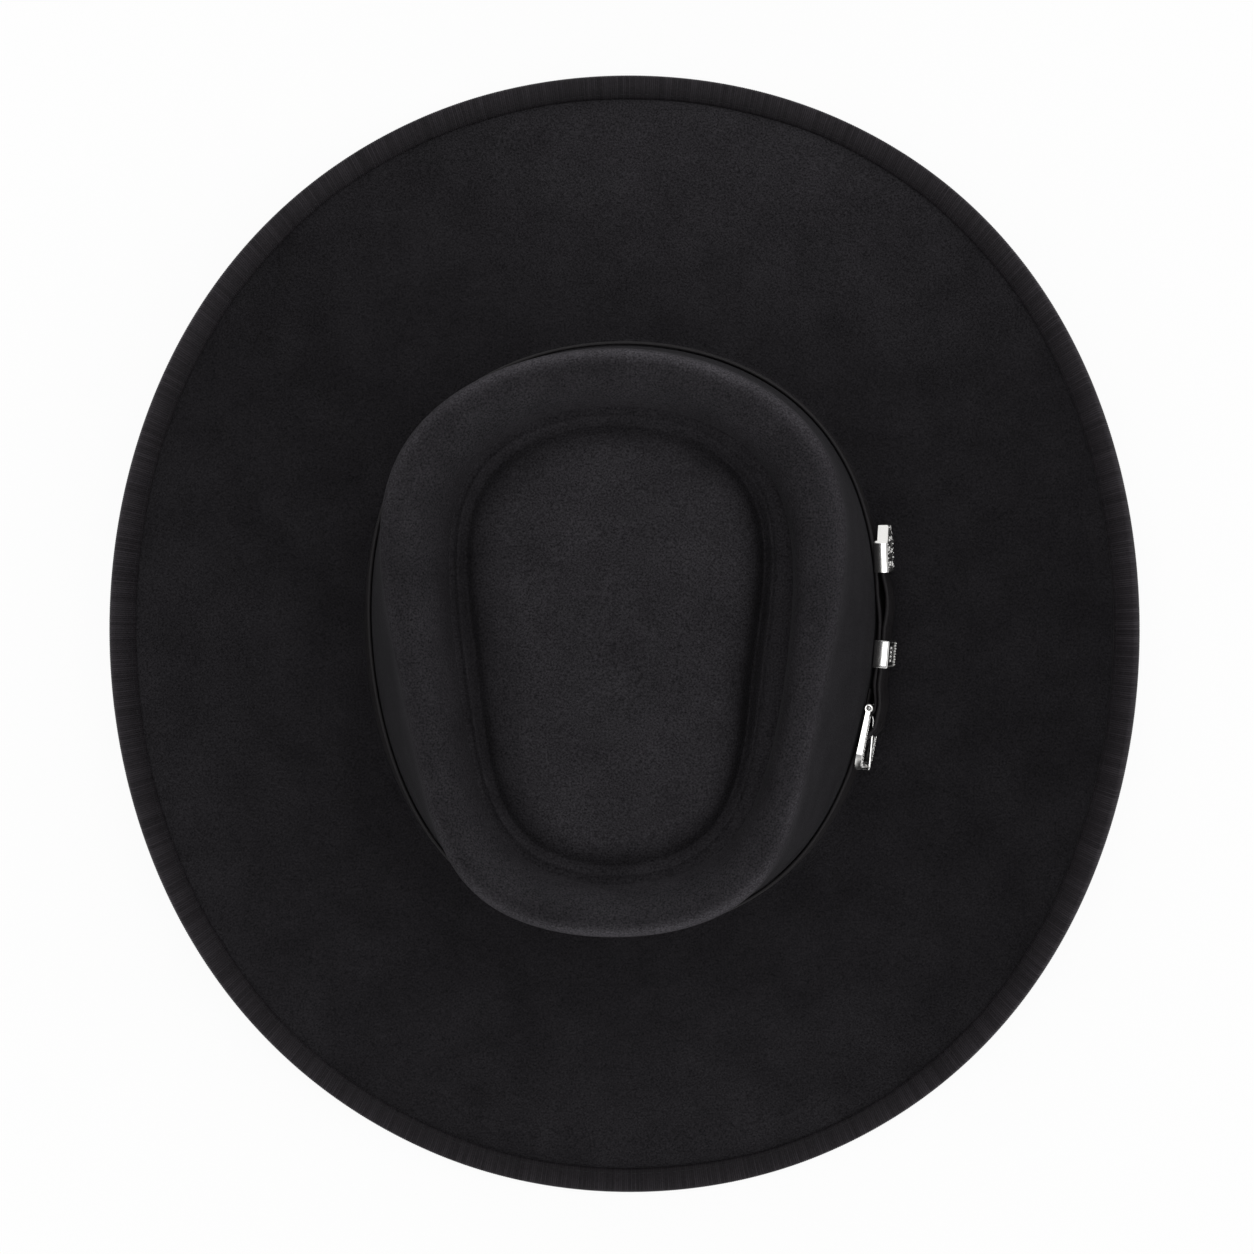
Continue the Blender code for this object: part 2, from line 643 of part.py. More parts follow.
def hat_band(look, cutter_look):
    """Leather strap round the crown: folded on the bar, once round, over the bar and into its tip."""
    path = strap_path()
    slope = unit(np.gradient(path[:, :2], axis=0))
    across = np.stack([-slope[:, 1], slope[:, 0]], axis=1) * path[:, 2:3] / 2
    sections = []
    for centre, shift in zip(path[:, :2], across):
        section = []
        for side, h in ((1, STRAP_LIFT), (1, STRAP_LIFT + STRAP_HEIGHT),
                        (-1, STRAP_LIFT + STRAP_HEIGHT), (-1, STRAP_LIFT)):
            s, d = centre + side * shift
            section.append(wall_point(angle_at(s), h, d))
        sections.append(section)
    mouth, ahead, up, out = tip_axes()
    half = STRAP_HEIGHT / 2
    for x in np.linspace(0, TIP_STRAIGHT - GAP, 4):
        inner = mouth + ahead * x + out * TIP_LAYER
        outer = inner + out * STRAP_THICKNESS
        sections.append([outer - up * half, outer + up * half, inner + up * half, inner - up * half])
    strap = swept_body("hat_band", sections, look)

    half_slot = TONGUE_WIDTH / 2 + TONGUE_SLOT_FIT
    axes = local_axes(BAR_PLACE)
    fold_reach = EYE_RADIUS + SKIVED_THICKNESS + GAP
    chape_slot = rigid_box("chape_slot_cutter", placed(BAR_PLACE, BAR_LAYER), axes,
                           (-fold_reach, -half_slot, -BAR_LAYER),
                           (EYE_RADIUS + GAP, half_slot, FREE_OVER_BAR - BAR_LAYER - GAP / 2), cutter_look)
    cut(strap, chape_slot)
    slot_axes = local_axes(CLIMB_END - CLIMB_LENGTH / 2)
    slot = rigid_box("tongue_slot_cutter", placed(CLIMB_END - CLIMB_LENGTH / 2, 0.0), slot_axes,
                     (-TONGUE_SLOT_FRONT, -half_slot, -FREE_LAYER),
                     (TONGUE_SLOT_BACK, half_slot, 2 * FREE_OVER_BAR), cutter_look)
    cut(strap, slot)
    for k in range(SPARE_HOLE_COUNT):
        place = BAR_PLACE + SPARE_HOLE_PITCH * (k + 1)
        along, up, out = local_axes(place)
        origin = placed(place, FREE_LAYER)
        hole = rod(f"spare_hole_cutter_{k + 1}", origin, out, along, SPARE_HOLE_DIAMETER / 2,
                   -GAP / 2, STRAP_THICKNESS * 2, 8, cutter_look)
        cut(strap, hole)
    return strap


def buckle_axes():
    """Bar centre, and directions from bar to far rail, up the bar and out of the hat."""
    bar = placed(BAR_PLACE, BAR_LAYER)
    far = placed(BAR_PLACE - FRAME_LENGTH, FAR_RAIL_UNDERSIDE + RAIL_THICKNESS_HEEL / 2)
    reach = unit(far - bar)
    up = local_axes(BAR_PLACE)[1]
    up = unit(up - reach * np.dot(reach, up))
    return bar, reach, up, np.cross(up, reach)


def buckle_frame(look, cutter_look):
    """Horseshoe frame swept round three sides, thicker at the far rail, drilled for the bar."""
    bar, reach, up, out = buckle_axes()
    half = STRAP_HEIGHT / 2 + FRAME_SIDE_FIT + RAIL_WIDTH / 2
    bend = FRAME_LENGTH - FRAME_CORNER
    route = [(EAR_RADIUS * k, half) for k in (-0.97, -0.75, -0.35, 0.35, 0.7, 1.0)]
    route.append((bend / 2, half))
    for k in range(7):
        turn = math.pi / 2 * k / 6
        route.append((bend + FRAME_CORNER * math.sin(turn), half - FRAME_CORNER * (1 - math.cos(turn))))
    route += [(x, -y) for x, y in reversed(route)]
    route = np.array(route)
    slope = unit(np.gradient(route, axis=0))
    sideways = np.stack([-slope[:, 1], slope[:, 0]], axis=1)
    sections = []
    for (x, u), (sx, su) in zip(route, sideways):
        growth = np.clip(x / FRAME_LENGTH, 0, 1)
        ear = math.sqrt(max(EAR_RADIUS ** 2 - x ** 2, 0.0))
        plain = RAIL_THICKNESS_HEEL / 2 if x > 0 else 0.0
        low = -max(plain, ear)
        high = max(plain + (RAIL_THICKNESS_FAR - RAIL_THICKNESS_HEEL) * growth, ear)
        section = []
        for w, n in ((-1, low), (-1, high - 0.25 * (high - low)), (-0.6, high), (0.6, high),
                     (1, high - 0.25 * (high - low)), (1, low)):
            wide = w * RAIL_WIDTH / 2
            section.append(bar + reach * (x + sx * wide) + up * (u + su * wide) + out * n)
        sections.append(section)
    frame = swept_body("buckle_frame", sections, look)
    bore = rod("bar_bore_cutter", bar, up, reach, BAR_DIAMETER / 2 + BAR_FIT,
               -2 * STRAP_HEIGHT, 2 * STRAP_HEIGHT, 12, cutter_look)
    cut(frame, bore)
    return frame


def buckle_bar(look):
    bar, reach, up, out = buckle_axes()
    half = STRAP_HEIGHT / 2 + FRAME_SIDE_FIT + RAIL_WIDTH - GAP
    return rod("buckle_bar", bar, up, reach, BAR_DIAMETER / 2, -half, half, 12, look, (0, 0, 0))


def buckle_tongue(look, cutter_look):
    """Prong that turns on the bar and rests on the face of the far rail."""
    bar, reach, up, out = buckle_axes()
    rest = -RAIL_THICKNESS_HEEL / 2 + RAIL_THICKNESS_FAR + GAP + TONGUE_THICKNESS / 2
    tilt = math.atan2(rest, FRAME_LENGTH)
    half = TONGUE_THICKNESS / 2
    join = math.asin(half / EYE_RADIUS)
    outline = []
    for k in range(13):
        a = join + (2 * math.pi - 2 * join) * k / 12
        outline.append((EYE_RADIUS * math.cos(a), EYE_RADIUS * math.sin(a)))
    outline += [(TONGUE_LENGTH - half, -half), (TONGUE_LENGTH, -half / 2), (TONGUE_LENGTH, half / 2),
                (TONGUE_LENGTH - half, half)]
    ahead = reach * math.cos(tilt) + out * math.sin(tilt)
    above = out * math.cos(tilt) - reach * math.sin(tilt)
    sections = []
    for side in (-1, 1):
        sections.append([bar + ahead * x + above * y + up * side * TONGUE_WIDTH / 2 for x, y in outline])
    tongue = swept_body("buckle_tongue", sections, look, tuple(bar))
    eye = rod("tongue_eye_cutter", bar, up, reach, BAR_DIAMETER / 2 + GAP,
              -TONGUE_WIDTH, TONGUE_WIDTH, 12, cutter_look)
    cut(tongue, eye)
    return tongue


def keeper_turn_centre():
    """Centre of the curve that the strap follows where the keeper slides, at the strap's height."""
    reach = KEEPER_LENGTH / 2
    a, b, c = (placed(KEEPER_PLACE + k * reach, FREE_LAYER)[:2] for k in (-1, 0, 1))
    mid1, mid2 = (a + b) / 2, (b + c) / 2
    n1 = np.array([-(b - a)[1], (b - a)[0]])
    n2 = np.array([-(c - b)[1], (c - b)[0]])
    along = np.linalg.solve(np.stack([n1, -n2], axis=1), mid2 - mid1)
    centre = mid1 + n1 * along[0]
    return np.array([*centre, placed(KEEPER_PLACE, 0.0)[2]])


def keeper(look):
    """Loop round both layers of the strap, with rounded outer corners."""
    along, up, out = local_axes(KEEPER_PLACE)
    origin = placed(KEEPER_PLACE, 0.0)
    half_in = STRAP_HEIGHT / 2 + GAP
    half_out = half_in + KEEPER_WALL
    inner_low = GAP + KEEPER_BACK_WALL
    inner_high = FREE_LAYER + STRAP_THICKNESS + GAP
    outer_high = inner_high + KEEPER_WALL
    soft = 0.6 * KEEPER_WALL
    outer = [(-half_out, GAP), (half_out, GAP),
             (half_out, outer_high - soft), (half_out - soft, outer_high),
             (-half_out + soft, outer_high), (-half_out, outer_high - soft)]
    soft = soft / 2
    inner = [(-half_in, inner_low), (half_in, inner_low),
             (half_in, inner_high - soft), (half_in - soft, inner_high),
             (-half_in + soft, inner_high), (-half_in, inner_high - soft)]
    loops = []
    for reach, section in ((-1, outer), (1, outer), (1, inner), (-1, inner)):
        end = origin + along * reach * KEEPER_LENGTH / 2
        loops.append([end + up * u + out * n for u, n in section])
    rings = np.array(loops)
    faces = grid_faces(4, len(outer), True, True)
    return add_object("keeper", rings.reshape(-1, 3), faces, look, tuple(keeper_turn_centre()))


def strap_tip(look, cutter_look):
    """Pointed metal sheath on the strap's free end, its sides reaching past the strap below."""
    origin, *axes = tip_axes()
    along, up, out = axes
    half_in = STRAP_HEIGHT / 2 + GAP
    half = half_in + TIP_WALL
    end = TIP_STRAIGHT + TIP_POINT
    outline = [(0.0, -half), (TIP_STRAIGHT, -half), (end, -TIP_END_HALF_HEIGHT),
               (end, TIP_END_HALF_HEIGHT), (TIP_STRAIGHT, half), (0.0, half)]
    roof = TIP_LAYER + STRAP_THICKNESS + GAP
    high = roof + TIP_FACE
    middle = TIP_STRAIGHT / 2
    sections = []
    for n, shrink in ((TIP_SKIRT_LIFT, 1.0), (high - 0.5 * TIP_FACE, 1.0), (high, 0.94)):
        sections.append([origin + along * (middle + (x - middle) * shrink) + up * u * shrink + out * n
                         for x, u in outline])
    tip = swept_body("strap_tip", sections, look)
    pocket = rigid_box("tip_pocket_cutter", origin, axes,
                       (-TIP_STRAIGHT, -half_in, TIP_UNDERSIDE + TIP_WALL),
                       (TIP_STRAIGHT, half_in, roof), cutter_look)
    cut(tip, pocket)
    channel = rigid_box("tip_channel_cutter", origin, axes, (-TIP_STRAIGHT, -half_in, -TIP_LAYER),
                        (2 * end, half_in, TIP_UNDERSIDE), cutter_look)
    cut(tip, channel)
    return tip


def build():
    clear_scene()
    felt = material("black wool felt", (0.012, 0.012, 0.013), 0.0, 0.95)
    ribbon = material("black grosgrain ribbon", (0.010, 0.010, 0.011), 0.0, 0.7)
    leather = material("black strap leather", (0.014, 0.013, 0.013), 0.0, 0.5)
    sweat_leather = material("black sweatband leather", (0.02, 0.018, 0.017), 0.0, 0.55)
    tape = material("black cotton tape", (0.02, 0.02, 0.02), 0.0, 0.85)
    plastic = material("clear reed plastic", (0.5, 0.5, 0.48), 0.0, 0.4)
    satin = material("black satin lining", (0.015, 0.015, 0.017), 0.0, 0.35)
    bow_ribbon = material("black bow ribbon", (0.012, 0.012, 0.013), 0.0, 0.6)
    silver = material("antiqued silver plate", (0.75, 0.74, 0.72), 1.0, 0.25)
    steel = material("nickel plated steel", (0.6, 0.6, 0.6), 1.0, 0.3)
    cutter = material("cutter", (0.8, 0.2, 0.2), 0.0, 0.5)

    felt_body(felt)
    brim_binding(ribbon)
    wall_ring("lining_side", lining_side_section(), satin)
    lining_tip(satin)
    wall_ring("reed_tape", tape_section(), tape)
    wall_ring("sweatband_reed", reed_section(), plastic)
    wall_ring("sweatband", sweatband_section(), sweat_leather)
    sweatband_bow(bow_ribbon)
    hat_band(leather, cutter)
    buckle_frame(silver, cutter)
    buckle_bar(steel)
    buckle_tongue(silver, cutter)
    keeper(silver)
    strap_tip(silver, cutter)

    bar, reach, up, out = buckle_axes()
    print("tongue bar centre", bar, "axis", up)
    print("keeper turn centre", keeper_turn_centre(), "middle", placed(KEEPER_PLACE, FREE_LAYER))


build()
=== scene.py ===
import math
import bmesh
import bpy
import numpy as np
from numpy import cos, pi, sin
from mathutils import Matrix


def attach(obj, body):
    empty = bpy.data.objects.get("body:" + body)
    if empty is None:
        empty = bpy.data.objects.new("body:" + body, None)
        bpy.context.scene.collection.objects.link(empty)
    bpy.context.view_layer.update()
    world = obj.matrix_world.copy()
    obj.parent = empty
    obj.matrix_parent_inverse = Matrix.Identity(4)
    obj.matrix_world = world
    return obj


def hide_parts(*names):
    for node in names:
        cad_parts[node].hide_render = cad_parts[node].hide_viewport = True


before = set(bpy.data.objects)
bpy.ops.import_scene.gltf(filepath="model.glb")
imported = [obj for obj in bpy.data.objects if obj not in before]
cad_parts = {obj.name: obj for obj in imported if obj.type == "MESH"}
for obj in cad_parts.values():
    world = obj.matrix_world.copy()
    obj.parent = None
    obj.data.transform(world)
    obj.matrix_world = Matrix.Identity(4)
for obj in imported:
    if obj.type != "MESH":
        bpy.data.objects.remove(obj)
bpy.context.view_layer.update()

# Camera: a long lens well above the hat, looking straight down with the back of the hat at the top
# of the picture. It stands a little to the buckle side and aims at the middle of the brim.
BRIM_LEVEL = 0.0162
PHOTO_PIXELS = 1254
METRES_PER_PIXEL = 0.000356
SENSOR = 36.0
CAMERA_HEIGHT = 1.5
CAMERA_ASIDE = 0.0622
CAMERA_BACK = 0.035
AIM = (0.0007, 0.0033)

scene = bpy.context.scene
camera_data = bpy.data.cameras.new("camera")
camera_data.sensor_width = SENSOR
camera_data.lens = SENSOR * CAMERA_HEIGHT / (PHOTO_PIXELS * METRES_PER_PIXEL)
camera_data.clip_end = 50.0
camera = bpy.data.objects.new("camera", camera_data)
camera.location = (CAMERA_ASIDE, CAMERA_BACK, BRIM_LEVEL + CAMERA_HEIGHT)
lean_back = math.atan2(CAMERA_BACK - AIM[1], CAMERA_HEIGHT)
lean_aside = math.atan2(CAMERA_ASIDE - AIM[0], CAMERA_HEIGHT)
camera.rotation_euler = (-lean_back, lean_aside, 0.0)
scene.collection.objects.link(camera)
scene.camera = camera
scene.view_settings.view_transform = "Standard"

# Studio: a pale floor, banks of soft light low down behind, in front and on the buckle side, and one broad
# softbox overhead. In reflections the surround is pale and the ceiling greyer.
FLOOR_REACH = 3.0
FLOOR_COLOUR = (0.86, 0.86, 0.86, 1.0)
FLOOR_GLOW = 0.93
WHITE = (1.0, 1.0, 1.0, 1.0)
SURROUND_LEVEL = 0.30
BANK_LEVEL = 6.5
SIDE_BANK_LEVEL = 3.0
BANK_FALLOFF = 8.0
CEILING_COLOUR = (0.38, 0.38, 0.39, 1.0)
CEILING_RISE = (0.45, 0.85)
SOFTBOX_SIZE = 1.5
SOFTBOX_PLACE = (0.10, 0.35, 2.2)
SOFTBOX_WATTS = 16.0


def set_inputs(tree, made, inputs):
    """Sets inputs of a node, each to a plain value or to another node's output."""
    for place, value in inputs.items():
        if isinstance(value, bpy.types.NodeSocket):
            tree.links.new(value, made.inputs[place])
        else:
            made.inputs[place].default_value = value


def node(tree, kind, inputs={}, **settings):
    """New shader node with its own settings and its inputs."""
    made = tree.nodes.new("ShaderNode" + kind)
    for name, value in settings.items():
        setattr(made, name, value)
    set_inputs(tree, made, inputs)
    return made


def calculated(tree, operation, *values):
    """Result of one sum on values, each a number or another node's output."""
    return node(tree, "Math", dict(enumerate(values)), operation=operation).outputs[0]


def map_range(tree, value, low, high, to_low=0.0, to_high=1.0):
    """Value from low to high, carried to the range from to_low to to_high and held there."""
    limits = {"From Min": low, "From Max": high, "To Min": to_low, "To Max": to_high}
    return node(tree, "MapRange", {"Value": value, **limits}).outputs["Result"]


def blended(tree, factor, low, high):
    """Colour that runs from low to high with a factor."""
    ends = {"A": (*low[:3], 1.0), "B": (*high[:3], 1.0)}
    return node(tree, "Mix", {"Factor": factor, **ends}, data_type="RGBA").outputs["Result"]


def lit_and_seen(tree, lighting, shown):
    """Shader that lights as the first and looks like the second to camera, mirror and see-through rays."""
    path = node(tree, "LightPath").outputs
    direct = calculated(tree, "MAXIMUM", path["Is Camera Ray"], path["Is Glossy Ray"])
    direct = calculated(tree, "MAXIMUM", direct, path["Is Transmission Ray"])
    return node(tree, "MixShader", {0: direct, 1: lighting, 2: shown}).outputs[0]


world = bpy.data.worlds.new("surround")
scene.world = world
world.use_nodes = True
tree = world.node_tree
tree.nodes.clear()
toward = node(tree, "SeparateXYZ", {0: node(tree, "TexCoord").outputs["Generated"]}).outputs
lengthwise = calculated(tree, "POWER", calculated(tree, "ABSOLUTE", toward["Y"]), BANK_FALLOFF)
sideways = calculated(tree, "POWER", calculated(tree, "MAXIMUM", toward["X"], 0.0), BANK_FALLOFF)
banks = calculated(tree, "MULTIPLY_ADD", lengthwise, BANK_LEVEL, SURROUND_LEVEL)
level = calculated(tree, "ADD", banks, calculated(tree, "MULTIPLY", sideways, SIDE_BANK_LEVEL))
lighting = node(tree, "Background", {"Color": WHITE, "Strength": level}).outputs[0]
ceiling = blended(tree, map_range(tree, toward["Z"], *CEILING_RISE), WHITE, CEILING_COLOUR)
shown = node(tree, "Background", {"Color": ceiling, "Strength": 1.0}).outputs[0]
node(tree, "OutputWorld", {"Surface": lit_and_seen(tree, lighting, shown)})

floor_mesh = bpy.data.meshes.new("floor")
corners = [(FLOOR_REACH * x, FLOOR_REACH * y, 0) for x, y in ((-1, -1), (1, -1), (1, 1), (-1, 1))]
floor_mesh.from_pydata(corners, [], [(0, 1, 2, 3)])
floor = bpy.data.objects.new("floor", floor_mesh)
scene.collection.objects.link(floor)
paper = bpy.data.materials.new("floor paper")
paper.use_nodes = True
tree = paper.node_tree
tree.nodes.clear()
matt = node(tree, "BsdfDiffuse", {"Color": FLOOR_COLOUR}).outputs[0]
glow = node(tree, "Emission", {"Strength": 1.0}).outputs[0]
pale = node(tree, "MixShader", {0: FLOOR_GLOW, 1: matt, 2: glow}).outputs[0]
node(tree, "OutputMaterial", {"Surface": lit_and_seen(tree, matt, pale)})
floor_mesh.materials.append(paper)

softbox_data = bpy.data.lights.new("softbox", "AREA")
softbox_data.size = SOFTBOX_SIZE
softbox_data.energy = SOFTBOX_WATTS
softbox = bpy.data.objects.new("softbox", softbox_data)
softbox.location = SOFTBOX_PLACE
softbox.rotation_euler = (-math.atan2(SOFTBOX_PLACE[1], SOFTBOX_PLACE[2]),
                          math.atan2(SOFTBOX_PLACE[0], math.hypot(*SOFTBOX_PLACE[1:])), 0.0)
scene.collection.objects.link(softbox)

# Felt body: one hood of black wool felt, steamed and blocked into crown and brim in one piece. The crown top
# is pressed down inside its rim, which leaves a creased oval dent, and the brim dips in front and behind and
# rolls up at the sides. Values in threes are for by_side.
FELT = 0.0022
BUILDUP = 0.0010
BRIM_WIDTH = 0.095
BRIM_ALONG_FELT = 0.0964
BRIM_DIP = 0.0130
SIDE_RISE = 0.0280
REST_HALF_ANGLE = math.radians(24)
BREAK_FILLET = 0.003
RIBBON_LEG = 0.0078
RIBBON_START = 1 - RIBBON_LEG / BRIM_ALONG_FELT
WALL_HEIGHT = 0.099
CROWN_HEIGHT = 0.105
RIM_LEAN = 0.55
RIM_ROUND = 0.45
CREST_INSET = 0.28
CREST_REACH = (0.58, 0.235, 0.185)
DENT_DEPTH = 0.020
FOOT_OUTSIDE = 0.0038
FOOT_REACH = (0.92, 0.04, 0.04)
LEDGE = (0.0, 0.0023, 0.0023)
RIDGE_AT = 0.0032
RIDGE_WIDTH = 0.0009
RIDGE_HEIGHT = (0.0003, 0.0007, 0.0)
GROOVE_AT = 0.0064
GROOVE_WIDTH = 0.0020
PINCH_DEPTH = (0.0004, 0.0022, 0.0010)
FLOOR_RISE = 0.006
FLOOR_ROLL = (0.009, 0.0085, -0.0055)
END_LIFT = 0.003
DOME_HEIGHT = 0.002
DOME_SHARE = 0.96
CREASE_FORWARD = 0.0012
# Painted light and shade in the felt colour: the brim lighter behind and darker at the sides, shade at the brim
# break and on the wall, a lighter crown top, a painted highlight over the rim that is strongest in front and
# behind, a lighter dent floor with lighter ends, and painted shade in the groove. The grain shows less where
# the painted value is low.
BRIM_LIGHT_HARMONICS = ((0, 0.65, 0.0), (1, 0.0, 0.34), (2, -0.67, 0.25), (3, -0.36, -0.23), (4, 0.29, 0.0))
BREAK_SHADE = -0.2
WALL_SHADE = -0.10
CROWN_TOP_LIGHT = 0.85
RIM_LIGHT_SIDES = 0.70
RIM_LIGHT_ENDS = 3.00
RIM_LIGHT_MIDDLE = 0.42
RIM_LIGHT_SPREAD = 0.30
DENT_FLOOR_LIGHT = 1.15
DENT_FLOOR_END_LIGHT = 0.5
GROOVE_SHADE = (0.0, 0.85, -0.05)
GROOVE_SHADE_WIDTH = 0.005
PAINTED_LIGHT_GAIN = 0.46
FELT_COLOUR = (0.0132, 0.0125, 0.0139)
FIBRE_CONTRAST = 0.55
SHADED_GRAIN_CONTRAST = 0.85
MOTTLING = 0.15
INSIDE_FINENESS = 0.36


def unit(vectors):
    """Vectors scaled to length one."""
    return vectors / np.linalg.norm(vectors, axis=-1, keepdims=True)


def ramped(x):
    """Value held between 0 and 1."""
    return np.clip(x, 0, 1)


def round_turn(count):
    """Even angles once round."""
    return np.arange(count) * 2 * pi / count


def oval(t, half_width, half_length, side_full, end_full, taper=0.0, cubic=0.0, shift=0.0):
    """Outline: x = a cos t (1 + p sin^2 t)(1 + k sin t + m sin^3 t), y = b sin t (1 + q cos^2 t) + shift."""
    sine, cosine = sin(t), cos(t)
    x = half_width * cosine * (1 + side_full * sine ** 2) * (1 + taper * sine + cubic * sine ** 3)
    y = half_length * sine * (1 + end_full * cosine ** 2) + shift
    return np.stack([x, y], axis=-1)


def base_plan(t):
    """Crown outline where it meets the brim."""
    return oval(t, 0.0919, 0.1035, 0.059, 0.059, 0.035)


def rim_plan(t):
    """Crown outline at the top of its wall: narrower in front, round behind."""
    return oval(t, 0.0737, 0.0981, 0.375, 0.0, 0.249, -0.248)


def crease_plan(t):
    """Outline of the crease at the bottom of the dent."""
    return oval(t, 0.0502, 0.0765, 0.365, 0.066, 0.187, -0.133, -CREASE_FORWARD)


def edge_plan(t):
    """Outline of the felt edge inside the binding."""
    return oval(t, 0.1796 - BUILDUP, 0.2009 - BUILDUP, -0.015, 0.099, 0.012)


def raised(plan, z):
    """Plan points at height z."""
    return np.concatenate([plan, np.broadcast_to(z, plan.shape[:-1])[..., None]], axis=-1)


def side_share(t):
    """0 over the level stretches in front and behind, rising smoothly to 1 at the sides."""
    from_end = np.arctan2(np.abs(cos(t)), np.abs(sin(t)))
    turn = ramped((from_end - REST_HALF_ANGLE) / (pi / 2 - REST_HALF_ANGLE))
    return sin(pi / 2 * turn) ** 2


def brim_point(t, u):
    """Brim top from crown (u = 0) to edge (1): a quarter-sine fall at the ends, a u^2 rise at the sides."""
    base, edge = base_plan(t), edge_plan(t)
    side = side_share(t)
    dip = BRIM_DIP * sin(pi / 2 * np.minimum(u / RIBBON_START, 1))
    z = BRIM_LEVEL - (1 - side) * dip + side * SIDE_RISE * u ** 2
    return raised(base + (edge - base) * np.asarray(u)[..., None], z)


def ruled_wall(t, h):
    """Crown wall at height h above the brim: straight lines from base outline to rim outline."""
    share = np.asarray(h / WALL_HEIGHT)[..., None]
    return raised(base_plan(t) * (1 - share) + rim_plan(t) * share, BRIM_LEVEL + h)


def curve(p0, p1, p2, p3, s):
    """Cubic curve through four rings of points, at each s."""
    s = np.asarray(s)[:, None, None]
    r = 1 - s
    return r ** 3 * p0 + 3 * r * r * s * p1 + 3 * r * s * s * p2 + s ** 3 * p3


def bell(x, width):
    """Bell curve exp(-(x / width)^2)."""
    return np.exp(-(x / width) ** 2)


def by_side(t, ends, sides, uneven):
    """Value in front and behind, plus one by cos^2 t at both sides, plus one that favours the buckle side."""
    cosine = cos(t)
    return ends + sides * cosine ** 2 + uneven * cosine * np.abs(cosine)


